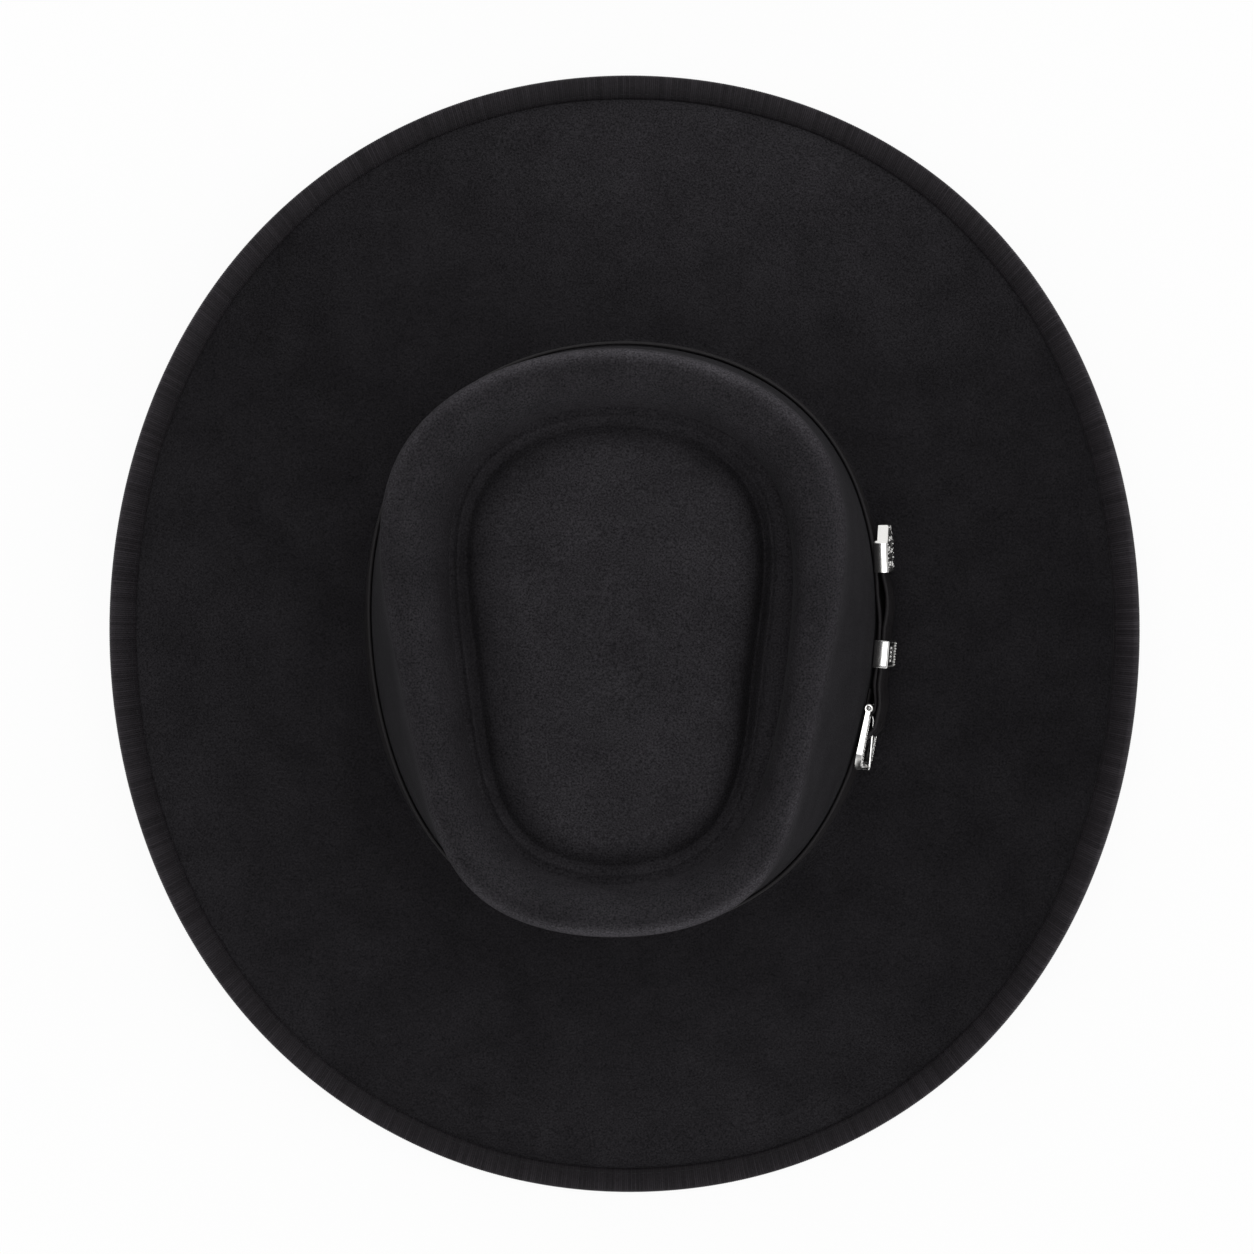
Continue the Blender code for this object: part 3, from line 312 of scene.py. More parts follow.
def felt_rings(t, fine):
    """Rings of the outer skin from brim edge to crown middle, more of them as fine grows, and their painted
    light and shade.

    Brim, fillet, straight wall, rounded rim and the slope into the dent come first. Inside the slope's foot lie
    a ledge, a ridge and a groove, both bell curves. From there the floor rolls up by 1 - (1 - roll)^2 and ends
    in a dome by 1 - g^2. The painted light and shade is a sum of harmonics on the brim, painted shade at the
    break and on the wall, a painted highlight in a bell over the rim and painted shade in the groove.
    """
    def share(count, first=1):
        return np.linspace(0, 1, max(4, int(round(count * fine))))[first:]

    def top(f, z):
        f = np.asarray(f)[..., None]
        return raised(rim_plan(t) * (1 - f) + crease_plan(t) * f, BRIM_LEVEL + z)

    to_break, up_wall, onto_floor = share(56, 0)[:, None], share(20)[:, None], share(64)[:, None]
    over_rim, down_slope = share(22), share(30)
    brim = brim_point(t[None], 1 - (1 - BREAK_FILLET / BRIM_WIDTH) * to_break)
    start, corner = brim[-1], brim_point(t, 0.0)
    end = ruled_wall(t, BREAK_FILLET)
    fillet = curve(start, start + (corner - start) * 2 / 3, end + (corner - end) * 2 / 3, end, share(9))
    wall = ruled_wall(t[None], BREAK_FILLET + (WALL_HEIGHT - BREAK_FILLET) * up_wall)
    rim, rise = wall[-1], wall[-1] - raised(base_plan(t), BRIM_LEVEL)
    lean = rim + rise * (RIM_LEAN * (CROWN_HEIGHT - WALL_HEIGHT) / WALL_HEIGHT)
    crest = top(CREST_INSET, CROWN_HEIGHT)
    shoulder = curve(rim, lean, top(RIM_ROUND * CREST_INSET, CROWN_HEIGHT), crest, over_rim)

    ends = sin(t) ** 2
    end_lift = END_LIFT * ends
    groove_z = CROWN_HEIGHT - DENT_DEPTH + end_lift
    ledge = by_side(t, *LEDGE)
    foot_at = 1 - (FOOT_OUTSIDE + ledge) / np.linalg.norm(rim_plan(t) - crease_plan(t), axis=-1)
    slope = curve(crest, top(by_side(t, *CREST_REACH) * foot_at, CROWN_HEIGHT),
                  top(by_side(t, *FOOT_REACH) * foot_at, CROWN_HEIGHT - DENT_DEPTH / 2),
                  top(foot_at, groove_z), down_slope)
    middle = np.array([0.0, -CREASE_FORWARD])
    from_middle = slope[-1][:, :2] - middle
    radius = np.linalg.norm(from_middle, axis=-1)
    roll_width = by_side(t, *FLOOR_ROLL)
    groove_at = GROOVE_AT + ledge
    inside_foot = (groove_at + roll_width) * onto_floor
    roll = ramped((inside_foot - groove_at) / roll_width)
    z = groove_z + (FLOOR_RISE - end_lift) * (1 - (1 - roll) ** 2)
    z = z + by_side(t, *RIDGE_HEIGHT) * bell(inside_foot - RIDGE_AT - ledge, RIDGE_WIDTH)
    z = z - by_side(t, *PINCH_DEPTH) * bell(inside_foot - groove_at, GROOVE_WIDTH)
    floor_edge = raised(middle + from_middle * (1 - inside_foot / radius)[..., None], BRIM_LEVEL + z)
    g = (1 - DOME_SHARE * share(14))[:, None]
    dome = raised(middle + from_middle * ((1 - (groove_at + roll_width) / radius) * g)[..., None],
                  BRIM_LEVEL + CROWN_HEIGHT - DENT_DEPTH + FLOOR_RISE + DOME_HEIGHT * (1 - g ** 2))

    # Painted light and shade, later multiplied into the felt colour: brim harmonics, shade at the break and on
    # the wall, a painted highlight over the rim, a lighter dent floor and painted shade in the groove.
    brim_light = sum(c * cos(k * t) + s * sin(k * t) for k, c, s in BRIM_LIGHT_HARMONICS)
    painted_lighting = RIM_LIGHT_SIDES + (RIM_LIGHT_ENDS - RIM_LIGHT_SIDES) * np.abs(sin(t)) ** 3
    painted_lighting = bell(over_rim - RIM_LIGHT_MIDDLE, RIM_LIGHT_SPREAD)[:, None] * painted_lighting
    floor_light = DENT_FLOOR_LIGHT + DENT_FLOOR_END_LIGHT * ends
    painted_groove_shade = by_side(t, *GROOVE_SHADE) * bell(inside_foot - groove_at, GROOVE_SHADE_WIDTH)
    painted_light = [brim_light * (1 - to_break) + BREAK_SHADE, np.full(fillet.shape[:2], BREAK_SHADE),
           WALL_SHADE + (CROWN_TOP_LIGHT - WALL_SHADE + painted_lighting[0]) * up_wall ** 14,
           CROWN_TOP_LIGHT + painted_lighting, CROWN_TOP_LIGHT + painted_lighting[-1] * (1 - down_slope[:, None]) ** 4,
           CROWN_TOP_LIGHT + (floor_light - CROWN_TOP_LIGHT) * onto_floor - painted_groove_shade,
           DENT_FLOOR_LIGHT + DENT_FLOOR_END_LIGHT * ends * g ** 2]
    return np.vstack([brim, fillet, wall, shoulder, slope, floor_edge, dome]), np.vstack(painted_light)


def solid(name, points, faces):
    """Smooth mesh object from points and faces, facing outward."""
    mesh = bpy.data.meshes.new(name)
    mesh.from_pydata(points.tolist(), [], faces)
    shell = bmesh.new()
    shell.from_mesh(mesh)
    bmesh.ops.recalc_face_normals(shell, faces=shell.faces)
    shell.to_mesh(mesh)
    shell.free()
    mesh.polygons.foreach_set("use_smooth", np.ones(len(mesh.polygons), bool))
    piece = bpy.data.objects.new(name, mesh)
    scene.collection.objects.link(piece)
    return piece


def lofted(name, grid, wrap_rows=False):
    """Mesh object from a grid of points whose columns run round; its rows wrap or end in fans to a middle."""
    rows, columns = grid.shape[:2]
    points = grid.reshape(-1, 3)
    index = np.arange(rows * columns).reshape(rows, columns)
    if wrap_rows:
        index = np.vstack([index, index[:1]])
    right = np.roll(index, -1, axis=1)
    faces = np.stack([index[:-1], right[:-1], right[1:], index[1:]], axis=-1).reshape(-1, 4).tolist()
    if not wrap_rows:
        points = np.vstack([points, grid[:1].mean(axis=1), grid[-1:].mean(axis=1)])
        for row, middle in ((index[0], len(points) - 2), (index[-1], len(points) - 1)):
            ring = np.stack([row, np.roll(row, -1), np.full(columns, middle)], axis=-1)
            faces += ring.tolist()
    return solid(name, points, faces)


def grid_normals(grid):
    """Unit normals of a grid whose columns run round the hat and whose rows run from brim to crown."""
    around = np.roll(grid, -1, axis=1) - np.roll(grid, 1, axis=1)
    return unit(np.cross(around, np.gradient(grid, axis=0)))


def keep_values(piece, name, values):
    """Stores one value for each point of the grid that the piece was made from; added middles stay 0."""
    kept = np.zeros(len(piece.data.vertices), np.float32)
    kept[:values.size] = values.reshape(-1)
    piece.data.attributes.new(name, "FLOAT", "POINT").data.foreach_set("value", kept)


angles = round_turn(360)
outside, painted_light = felt_rings(angles, 1.0)
coarse, coarse_painted_light = felt_rings(angles, INSIDE_FINENESS)
inside = coarse - grid_normals(coarse) * FELT
felt = lofted("felt_hood", np.vstack([outside[::-1], inside]))
# Only the outer skin carries painted light and shade; the inner skin gets none.
keep_values(felt, "painted_light", np.vstack([painted_light[::-1], 0 * coarse_painted_light]))


def coat(piece, material):
    """Gives a piece its material."""
    piece.data.materials.append(material)


def blank_material(name, roughness, specular):
    """Principled material with its node tree and its shader."""
    made = bpy.data.materials.new(name)
    made.use_nodes = True
    shader = made.node_tree.nodes["Principled BSDF"]
    set_inputs(made.node_tree, shader, {"Roughness": roughness, "Specular IOR Level": specular})
    return made, made.node_tree, shader


def noise(tree, vector, scale, detail):
    """Noise in object space, scale in waves to the metre."""
    return node(tree, "TexNoise", {"Vector": vector, "Scale": scale, "Detail": detail}).outputs["Fac"]


def bumped(tree, height, strength, depth):
    """Normal of a surface with a bump from a height field, depth in metres."""
    inputs = {"Height": height, "Strength": strength, "Distance": depth}
    return node(tree, "Bump", inputs).outputs["Normal"]


def attribute(tree, name):
    """Stored point values by name."""
    return node(tree, "Attribute", attribute_name=name).outputs["Fac"]


def felt_finish():
    """Black wool felt: matted fibres and soft mottling, lightened and darkened by the stored painted light and
    shade.
    """
    made, tree, shader = blank_material("black wool felt", 0.95, 0.01)
    where = node(tree, "TexCoord").outputs["Object"]
    fibres = noise(tree, where, 1600.0, 4.0)
    painted_light = attribute(tree, "painted_light")
    loose = calculated(tree, "MULTIPLY", map_range(tree, fibres, 0.30, 0.70, -FIBRE_CONTRAST, FIBRE_CONTRAST),
                       map_range(tree, painted_light, 0.0, 1.0, SHADED_GRAIN_CONTRAST, 1.0))
    grain = calculated(tree, "ADD", 1.0, loose)
    cloud = map_range(tree, noise(tree, where, 60.0, 6.0), 0.30, 0.70, 1 - MOTTLING, 1 + MOTTLING)
    # Painted light and shade: the stored values scale the felt colour up or down.
    painted_light_factor = map_range(tree, painted_light, -1.0, 4.0, 1.0 - PAINTED_LIGHT_GAIN, 1.0 + 4.0 * PAINTED_LIGHT_GAIN)
    strength = calculated(tree, "MULTIPLY", calculated(tree, "MULTIPLY", grain, cloud), painted_light_factor)
    tinted = node(tree, "VectorMath", {0: FELT_COLOUR, "Scale": strength}, operation="SCALE")
    set_inputs(tree, shader, {
        "Base Color": tinted.outputs[0], "Normal": bumped(tree, fibres, 0.6, 0.0003),
        "Sheen Weight": 0.015, "Sheen Roughness": 0.30, "Sheen Tint": (0.9, 0.9, 0.95, 1.0)})
    return made


coat(felt, felt_finish())
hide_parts("felt_body")
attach(felt, "hat")

# Binding: black grosgrain ribbon folded over the felt edge, one leg on each face of the brim. Its ribs cross
# the edge every three quarters of a millimetre, uneven in tone, with painted shade in the rib valleys and
# toward the legs' inner edges and a painted highlight along the fold.
GAP = 0.0003
RIB_PITCH = 0.00075
RIB_DEPTH = 0.00012
PRESSED_EDGE = 0.00035
TUCKED_EDGE = 0.0001
SHOULDER_STEP = 0.0085
SHOULDER = 0.92
WANDER = 0.0014
VALLEY_SHADE = 0.35
RIB_SHARE = 0.8
RIB_CONTRAST = 0.75
WEAVE_CONTRAST = 0.3


def run_length(line):
    """Length along a line of points, from 0 at its first."""
    return np.hstack([[0.0], np.cumsum(np.linalg.norm(np.diff(line, axis=0), axis=1))])


def even_angles(pitch, plan):
    """Angles that step round a closed outline by about that pitch of length."""
    t = np.linspace(0, 2 * pi, 7201)
    length = run_length(plan(t))
    count = int(round(length[-1] / pitch))
    return np.interp(np.arange(count) * length[-1] / count, length, t)


def off_brim(t, u, out, off):
    """Brim point moved out past the edge and off the top face along its normal; the normal comes too."""
    step = 1e-4
    around = brim_point(t + step, u) - brim_point(t - step, u)
    inward = brim_point(t, u - step) - brim_point(t, u)
    normal = unit(np.cross(around, inward))
    point = brim_point(t, u) - unit(inward) * np.asarray(out)[..., None]
    return point + normal * np.asarray(off)[..., None], normal


fold = np.radians([54, 18, -18, -54])
ribs = even_angles(RIB_PITCH, edge_plan)
t = np.interp(np.arange(3 * len(ribs)) / 3, np.arange(len(ribs) + 1), np.append(ribs, 2 * pi))
valley = np.tile([RIB_DEPTH, 0.0, 0.0], len(ribs))
wander = WANDER * (sin(5 * t + 0.7) + 0.7 * sin(11 * t + 2.0) + 0.5 * sin(23 * t))
inner = np.array([1, 1, 0, 0, 0, 0, 0, 0, 0, 1, 1, 0, 0, 1])
across = np.where(inner, RIBBON_START, 1)[:, None] + inner[:, None] * wander
across[1] += SHOULDER_STEP
across[2] = (RIBBON_START + 1) / 2
out = np.hstack([np.zeros(4), BUILDUP * cos(fold), np.zeros(3), [GAP, GAP, 0]])
under_felt = -FELT - GAP
off = np.hstack([[PRESSED_EDGE, SHOULDER * BUILDUP, BUILDUP, BUILDUP],
                 (FELT / 2 + BUILDUP) * sin(fold) - FELT / 2,
                 np.full(2, -FELT - BUILDUP), [under_felt, under_felt, GAP, TUCKED_EDGE]])
lean_out = np.hstack([np.zeros(4), cos(fold), np.zeros(6)])[:, None]
lean_off = np.hstack([np.ones(4), sin(fold), -np.ones(2), np.zeros(4)])[:, None]
grid, _ = off_brim(t[None], across, out[:, None] - lean_out * valley, off[:, None] - lean_off * valley)
binding = lofted("brim_ribbon", grid, wrap_rows=True)
# Rib tones: uneven at random on the crowns, with painted shade in the valleys. Each row is scaled by painted
# light: darker toward the inner edges and under the brim, lighter over the fold.
uneven = np.random.default_rng(5).random((len(ribs), 2))
crowns = VALLEY_SHADE + (1 - VALLEY_SHADE) * uneven[:, 1]
tone_and_shade = np.c_[VALLEY_SHADE * uneven[:, 0], crowns, crowns]
painted_lighting = np.array([0.40, 0.42, 0.55, 0.9, 1.3, 1.4, 1.2, 1, 1, 0.5, 0.5, 1, 1, 0.4])[:, None]
keep_values(binding, "rib_tone_and_shade", painted_lighting * tone_and_shade.reshape(-1))


def shaded(tree, shade, colour, contrast):
    """Colour that runs from darker to lighter by that contrast as the shade goes from 0 to 1."""
    return blended(tree, shade, [(1 - contrast) * c for c in colour], [(1 + contrast) * c for c in colour])


def cloth_finish(name, colour, roughness, sheen, scale, depth, specular=0.18, ribbed=False):
    """Woven black cloth: thread-scale mottling and a weak sheen, and if ribbed, the stored rib tones with their
    painted shade and highlight.
    """
    made, tree, shader = blank_material(name, roughness, specular)
    threads = noise(tree, node(tree, "TexCoord").outputs["Object"], scale, 3.0)
    shade = map_range(tree, threads, 0.35, 0.65)
    contrast = WEAVE_CONTRAST
    if ribbed:
        # Ribbed cloth: the stored rib tones carry painted shade in the valleys and a painted highlight on the
        # fold.
        ribs = calculated(tree, "MULTIPLY", attribute(tree, "rib_tone_and_shade"), RIB_SHARE)
        shade = calculated(tree, "ADD", calculated(tree, "MULTIPLY", shade, 1 - RIB_SHARE), ribs)
        contrast = RIB_CONTRAST
    set_inputs(tree, shader, {
        "Base Color": shaded(tree, shade, colour, contrast), "Normal": bumped(tree, threads, 0.5, depth),
        "Sheen Weight": sheen, "Sheen Roughness": 0.3})
    return made


grosgrain = cloth_finish("black grosgrain", (0.0188, 0.0168, 0.0192), 0.50, 0.02, scale=1800.0, depth=0.0001,
                         specular=0.06, ribbed=True)
coat(binding, grosgrain)
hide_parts("brim_binding")
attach(binding, "hat")

# Binding stitches: black polyester thread, sewn through both legs of the ribbon near their inner edges.
# Each bows off the cloth and dips into it at both ends.
STITCH_PITCH = 0.0030
STITCH_ROW = RIBBON_START + 0.018
STITCH_LEVEL = BUILDUP - 0.00019


def along_loop(line):
    """Unit directions along a closed line of points."""
    return unit(np.roll(line, -1, axis=0) - np.roll(line, 1, axis=0))


def thread_stitches(name, centres, along, outward, length=0.0021, radius=0.00013, lift=0.00006):
    """Short stitches: each a bowed rod of five rings of six points, thin where it dips into the cloth."""
    share = np.linspace(-1, 1, 5)
    thin = radius * np.sqrt(1 - 0.85 * share ** 2)
    rise = lift * (1 - share ** 2)
    sideways = np.cross(along, outward)
    turn = round_turn(6)
    spine = centres[:, None] + along[:, None] * (share * length / 2)[:, None]
    spine = spine + outward[:, None] * rise[:, None]
    ring = sideways[:, None] * cos(turn)[:, None] + outward[:, None] * sin(turn)[:, None]
    points = spine[:, :, None] + ring[:, None] * thin[:, None, None]
    index = np.arange(30).reshape(5, 6)
    right = np.roll(index, -1, axis=1)
    quads = np.stack([index[:-1], right[:-1], right[1:], index[1:]], axis=-1).reshape(-1, 4)
    first = 30 * np.arange(len(centres))
    faces = (first[:, None, None] + quads).reshape(-1, 4).tolist()
    faces += (first[:, None, None] + index[[0, -1]]).reshape(-1, 6).tolist()
    return solid(name, points.reshape(-1, 3), faces)


t = even_angles(STITCH_PITCH, edge_plan)
above, normal = off_brim(t, STITCH_ROW, 0.0, STITCH_LEVEL)
beneath, _ = off_brim(t, STITCH_ROW, 0.0, -STITCH_LEVEL - FELT)
stitches = thread_stitches("binding_stitches", np.vstack([above, beneath]),
                           np.tile(along_loop(above), (2, 1)), np.vstack([normal, -normal]))
thread = cloth_finish("black thread", (0.010, 0.010, 0.011), 0.6, 0.0, scale=3000.0, depth=0.00005)
coat(stitches, thread)
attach(stitches, "hat")

# Sweatband: a strip of thin black leather inside the crown, butted at the back and joined there by a
# zigzag of thread, with its upper edge pared thin.
TAPE_LAYER = FELT + GAP
TAPE = 0.0004
SWEATBAND = 0.0012
SWEATBAND_LAYER = TAPE_LAYER + TAPE + GAP
SWEATBAND_FACE = SWEATBAND_LAYER + SWEATBAND
BACK_SEAM = pi / 2
ZIGZAG_PITCH = 0.0016
LEATHER_CONTRAST = 0.12
SHINE_SPREAD = 0.08


def off_wall(t, h, d):
    """Point at height h above the brim, moved d out from the crown wall along its normal."""
    step = 1e-4
    around = ruled_wall(t + step, h) - ruled_wall(t - step, h)
    rise = raised(rim_plan(t), WALL_HEIGHT) - raised(base_plan(t), 0.0)
    return ruled_wall(t, h) + unit(np.cross(around, rise)) * np.asarray(d)[..., None]


def wall_band(name, section, t):
    """Ring along the crown wall from a closed (height, standoff) section."""
    return lofted(name, off_wall(t[None], section[:, :1], section[:, 1:]), wrap_rows=True)


rise = np.array([0.0016, 0.0022, 0.014, 0.028, 0.038, 0.0432, 0.0439])
half = SWEATBAND / 2 * np.array([0.55, 1, 1, 1, 0.95, 0.65, 0.35])
middle = -(SWEATBAND_LAYER + SWEATBAND / 2)
section = np.vstack([np.c_[rise, middle + half], np.c_[rise, middle - half][::-1]])
around_head = round_turn(240)
sweatband = wall_band("sweatband_strip", section, around_head)


def leather_finish(name, colour, roughness, scale, depth):
    """Black leather: a fine pebbled grain that also breaks up the shine."""
    made, tree, shader = blank_material(name, roughness, 0.20)
    where = node(tree, "TexCoord").outputs["Object"]
    cells = node(tree, "TexVoronoi", {"Vector": where, "Scale": scale}).outputs["Distance"]
    wear = noise(tree, where, scale / 6, 4.0)
    set_inputs(tree, shader, {
        "Base Color": shaded(tree, map_range(tree, wear, 0.3, 0.7), colour, LEATHER_CONTRAST),
        "Roughness": map_range(tree, wear, 0.3, 0.7, roughness - SHINE_SPREAD, roughness + SHINE_SPREAD),
        "Normal": bumped(tree, cells, 0.35, depth)})
    return made


hide = leather_finish("black sweatband leather", (0.020, 0.018, 0.017), 0.5, scale=1400.0, depth=0.0002)
coat(sweatband, hide)
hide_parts("sweatband")
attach(sweatband, "hat")

rise = np.arange(0.0040, 0.0425, ZIGZAG_PITCH)
spots = off_wall(BACK_SEAM, rise, -SWEATBAND_FACE)
up = unit(np.gradient(spots, axis=0))
normal = unit(off_wall(BACK_SEAM, rise, 0.001) - off_wall(BACK_SEAM, rise, 0.0))
zigzag = unit(np.cross(up, normal) * np.where(np.arange(len(rise)) % 2, 1, -1)[:, None] + 0.75 * up)
seam_thread = thread_stitches("sweatband_seam", spots, zigzag, -normal,
                              length=0.0027, radius=0.00015, lift=0.00012)
coat(seam_thread, thread)
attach(seam_thread, "hat")

# Reed: a drawn plastic rod bent to the head oval, which stiffens the lower edge of the sweatband.
# It lies hidden in the fold of the tape.
REED = 0.0012
turn = round_turn(12)
section = np.c_[REED / 2 * (1 + sin(turn)), middle + REED / 2 * cos(turn)]
reed = wall_band("reed_rod", section, around_head)
plastic, tree, shader = blank_material("milky reed plastic", 0.35, 0.5)
set_inputs(tree, shader, {"Base Color": (0.5, 0.5, 0.47, 1.0)})
coat(reed, plastic)
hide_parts("sweatband_reed")
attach(reed, "hat")

# Reed tape: plain cotton tape folded round the reed, one leg against the felt and the other sewn to the
# face of the sweatband.
TAPE_BEND = 0.0011
TAPE_FELT_TOP = 0.0060
TAPE_FACE_TOP = 0.0050
TAPE_SEAM = 0.0034


def left_of(line):
    """Unit normals on the left side of a line in a plane."""
    slope = unit(np.gradient(line, axis=0))
    return np.stack([-slope[:, 1], slope[:, 0]], axis=1)


turn = np.linspace(0, pi, 13)
trough = np.c_[REED / 2 - TAPE_BEND * sin(turn), middle + TAPE_BEND * cos(turn)]
felt_leg = np.c_[np.linspace(TAPE_FELT_TOP, REED / 2, 6)[:-1], np.full(5, middle + TAPE_BEND)]
face_leg = np.c_[np.linspace(REED / 2, TAPE_FACE_TOP, 6)[1:], np.full(5, middle - TAPE_BEND)]
line = np.vstack([felt_leg, trough, face_leg])
side = left_of(line) * TAPE / 2
tape = wall_band("tape_fold", np.vstack([line + side, (line - side)[::-1]]), around_head)
cotton = cloth_finish("black cotton tape", (0.016, 0.016, 0.016), 0.85, 0.05, scale=2200.0, depth=0.0001)
coat(tape, cotton)
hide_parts("reed_tape")
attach(tape, "hat")

t = even_angles(STITCH_PITCH, base_plan)
spots = off_wall(t, TAPE_SEAM, middle - TAPE_BEND - TAPE / 2)
normal = unit(off_wall(t, TAPE_SEAM, 0.0) - spots)
tape_stitches = thread_stitches("tape_stitches", spots, along_loop(spots), -normal)
coat(tape_stitches, thread)
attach(tape_stitches, "hat")

# Bow: a narrow satin ribbon tied flat over the sweatband's back seam, two loops pulled in by a knot.
# The loops narrow and pleat toward the knot.
BOW_HALF = 0.011
BOW_TALL = 0.0045
BOW_LEVEL = 0.013
BOW_DEPTH = 0.0012
PLEAT_WIDTH = 0.45
KNOT_HALF = 0.0017
KNOT_TALL = 0.0027
HEAD_RADIUS = 0.0919


def rounded(turn):
    """Cosine and sine of a turn, pulled toward a square with round corners."""
    x, y = cos(turn), sin(turn)
    return np.sign(x) * np.abs(x) ** 0.6, np.sign(y) * np.abs(y) ** 0.6


def over_seam(name, share, half, tall, deep):
    """Closed form across the back seam: its half width, heights and depths off the sweatband's face."""
    angle = np.broadcast_to(BACK_SEAM + share * half / HEAD_RADIUS, tall.shape)
    return lofted(name, off_wall(angle, BOW_LEVEL + tall, -SWEATBAND_FACE - GAP - deep))


turn = round_turn(28)
square_h, square_d = rounded(turn)
share = np.linspace(-1, 1, 41)[:, None]
loops = sin(pi * np.abs(share) ** 0.75)
pleats = 1 - 0.16 * (1 + cos(5 * turn)) * bell(share, PLEAT_WIDTH)
deep = BOW_DEPTH * (0.3 + 0.65 * loops) * (0.5 + 0.5 * square_d) * pleats
bow = over_seam("bow_loops", share, BOW_HALF, BOW_TALL * (0.42 + 0.58 * loops) * square_h, deep)
share = np.linspace(-1, 1, 15)[:, None]
swell = np.sqrt(1 - 0.94 * share ** 2)
deep = BOW_DEPTH * (0.5 + 0.5 * swell * square_d)
knot = over_seam("bow_knot", share, KNOT_HALF, KNOT_TALL * swell * square_h, deep)
bow_satin = cloth_finish("black bow satin", (0.012, 0.012, 0.013), 0.4, 0.1, scale=2600.0, depth=0.00005)
for piece in (bow, knot):
    coat(piece, bow_satin)
    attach(piece, "hat")
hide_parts("sweatband_bow")

# Side lining: a strip of black satin sewn round the inside of the crown behind the sweatband, gathered
# into small pleats where it turns to meet the tip.
LINING = 0.0004
LINING_LOW = 0.0063
LINING_TOP = 0.0748
GATHERS = 52
GATHER_FROM = 0.050
GATHER_DEPTH = 0.0007
t = round_turn(GATHERS * 8)
rise = np.linspace(LINING_LOW, LINING_TOP, 26)[:, None]
free = ramped((rise - GATHER_FROM) / (LINING_TOP - GATHER_FROM))
pleat = GATHER_DEPTH * free * (1 - cos(GATHERS * t + 1.5 * sin(5 * t) + 2 * free))
pleat = pleat * (0.75 + 0.25 * sin(17 * t + 1))
face = -TAPE_LAYER - pleat
grid = off_wall(t[None], np.vstack([rise, rise[::-1]]), np.vstack([face, face[::-1] - LINING]))
lining = lofted("lining_wall", grid, wrap_rows=True)
satin = cloth_finish("black satin", (0.015, 0.015, 0.017), 0.38, 0.1, scale=2600.0, depth=0.00004)
coat(lining, satin)
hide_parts("lining_side")
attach(lining, "hat")

# Tip lining: an oval of the same satin across the crown, sewn to the side lining, sagging a little in the
# middle and puckered near its edge.
TIP_SAG = 0.0018
PUCKER = 0.0004
t = around_head
rim = off_wall(t, LINING_TOP, -TAPE_LAYER)[:, :2]
share = np.linspace(0.03, 1, 22)
share = np.hstack([share, share[::-1]])[:, None]
lift = np.repeat([GAP, GAP + LINING], 22)[:, None]
pucker = PUCKER * cos(GATHERS * t) * ramped((share - 0.7) / 0.3) * (1 - share)
level = BRIM_LEVEL + LINING_TOP + lift - TIP_SAG * (1 - share ** 2) + pucker
tip_lining = lofted("lining_crown", raised(rim * share[..., None], level))
coat(tip_lining, satin)
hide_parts("lining_tip")
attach(tip_lining, "hat")
width, length = np.ptp(rim, axis=0)

# Hat band: a black leather strap with burnished edges and a creased line along each side. It folds round
# the buckle bar, goes once round the crown, passes over the bar and through the keeper and ends in the tip.
STRAP = 0.0013
STRAP_LOW = 0.0050
STRAP_TALL = 0.0150
STRAP_MIDDLE = STRAP_LOW + STRAP_TALL / 2
SKIVED = 0.0009
CHAPE = 0.0006
CHAPE_LENGTH = 0.007
CHAPE_TOP = 0.0031
BAR_PLACE = -0.0250
BAR_LAYER = 0.0021
BAR_PAST = 0.0005
CLOSURE_LAYER = 0.0011
FREE_LAYER = 0.0027
FREE_OVER_BAR = 0.0043
FREE_BOW = 0.0010
KEEPER_FRONT = -0.0149
KEEPER_BACK = 0.0037
CLIMB_END = -0.0300
CLIMB_START = -0.0390
CLOSURE_END = 0.0047
SETTLE_END = 0.0167
TIP_MOUTH = 0.0230
TIP_LEAD = 0.0015
TIP_FLARE = math.radians(4)
TIP_TURN = 0.0103
SLOT_HALF = 0.0012
CHAPE_SLOT, FREE_SLOT = (-0.0030, 0.0021), (-0.0024, 0.0058)
HOLE_RADIUS = 0.0012
HOLE_SPACING = 0.010

course_angle = np.linspace(0, 2 * pi, 4097)
course_length = run_length(ruled_wall(course_angle, STRAP_MIDDLE))
GIRTH = course_length[-1]


def angle_at(s):
    """Angle round the crown at length s along the strap."""
    return np.interp(np.mod(s, GIRTH), course_length, course_angle)


def eased(x):
    """Smooth step from 0 to 1."""
    x = ramped(x)
    return x * x * (3 - 2 * x)


def leg(start, end, count, layers, thickness, bow=0.0):
    """Stretch of strap: underside and thickness change by a smooth step, with a half-sine bow outward."""
    share = np.linspace(0, 1, count)
    thick = thickness[0] + (thickness[1] - thickness[0]) * eased(share)
    low = layers[0] + (layers[1] - layers[0]) * eased(share) + bow * sin(pi * share)
    return np.c_[start + (end - start) * share, low + thick / 2, thick]


def strap_axes(s, d=0.0, flare=0.0):
    """Point on the strap's middle line at standoff d, with directions along it (flared out), up and out."""
    t = angle_at(s)
    step = 1e-4
    along = unit(off_wall(t + step, STRAP_MIDDLE, 0.0) - off_wall(t - step, STRAP_MIDDLE, 0.0))
    up = unit(off_wall(t, STRAP_MIDDLE + step, 0.0) - off_wall(t, STRAP_MIDDLE - step, 0.0))
    ahead = along * cos(flare) + np.cross(along, up) * sin(flare)
    return off_wall(t, STRAP_MIDDLE, d), ahead, up, np.cross(ahead, up)


def placed(axes, x, u, n):
    """Points at x along, u up and n out from a point with its three directions."""
    origin, along, up, out = axes
    x, u, n = np.broadcast_arrays(x, u, n)
    return origin + along * x[..., None] + up * u[..., None] + out * n[..., None]


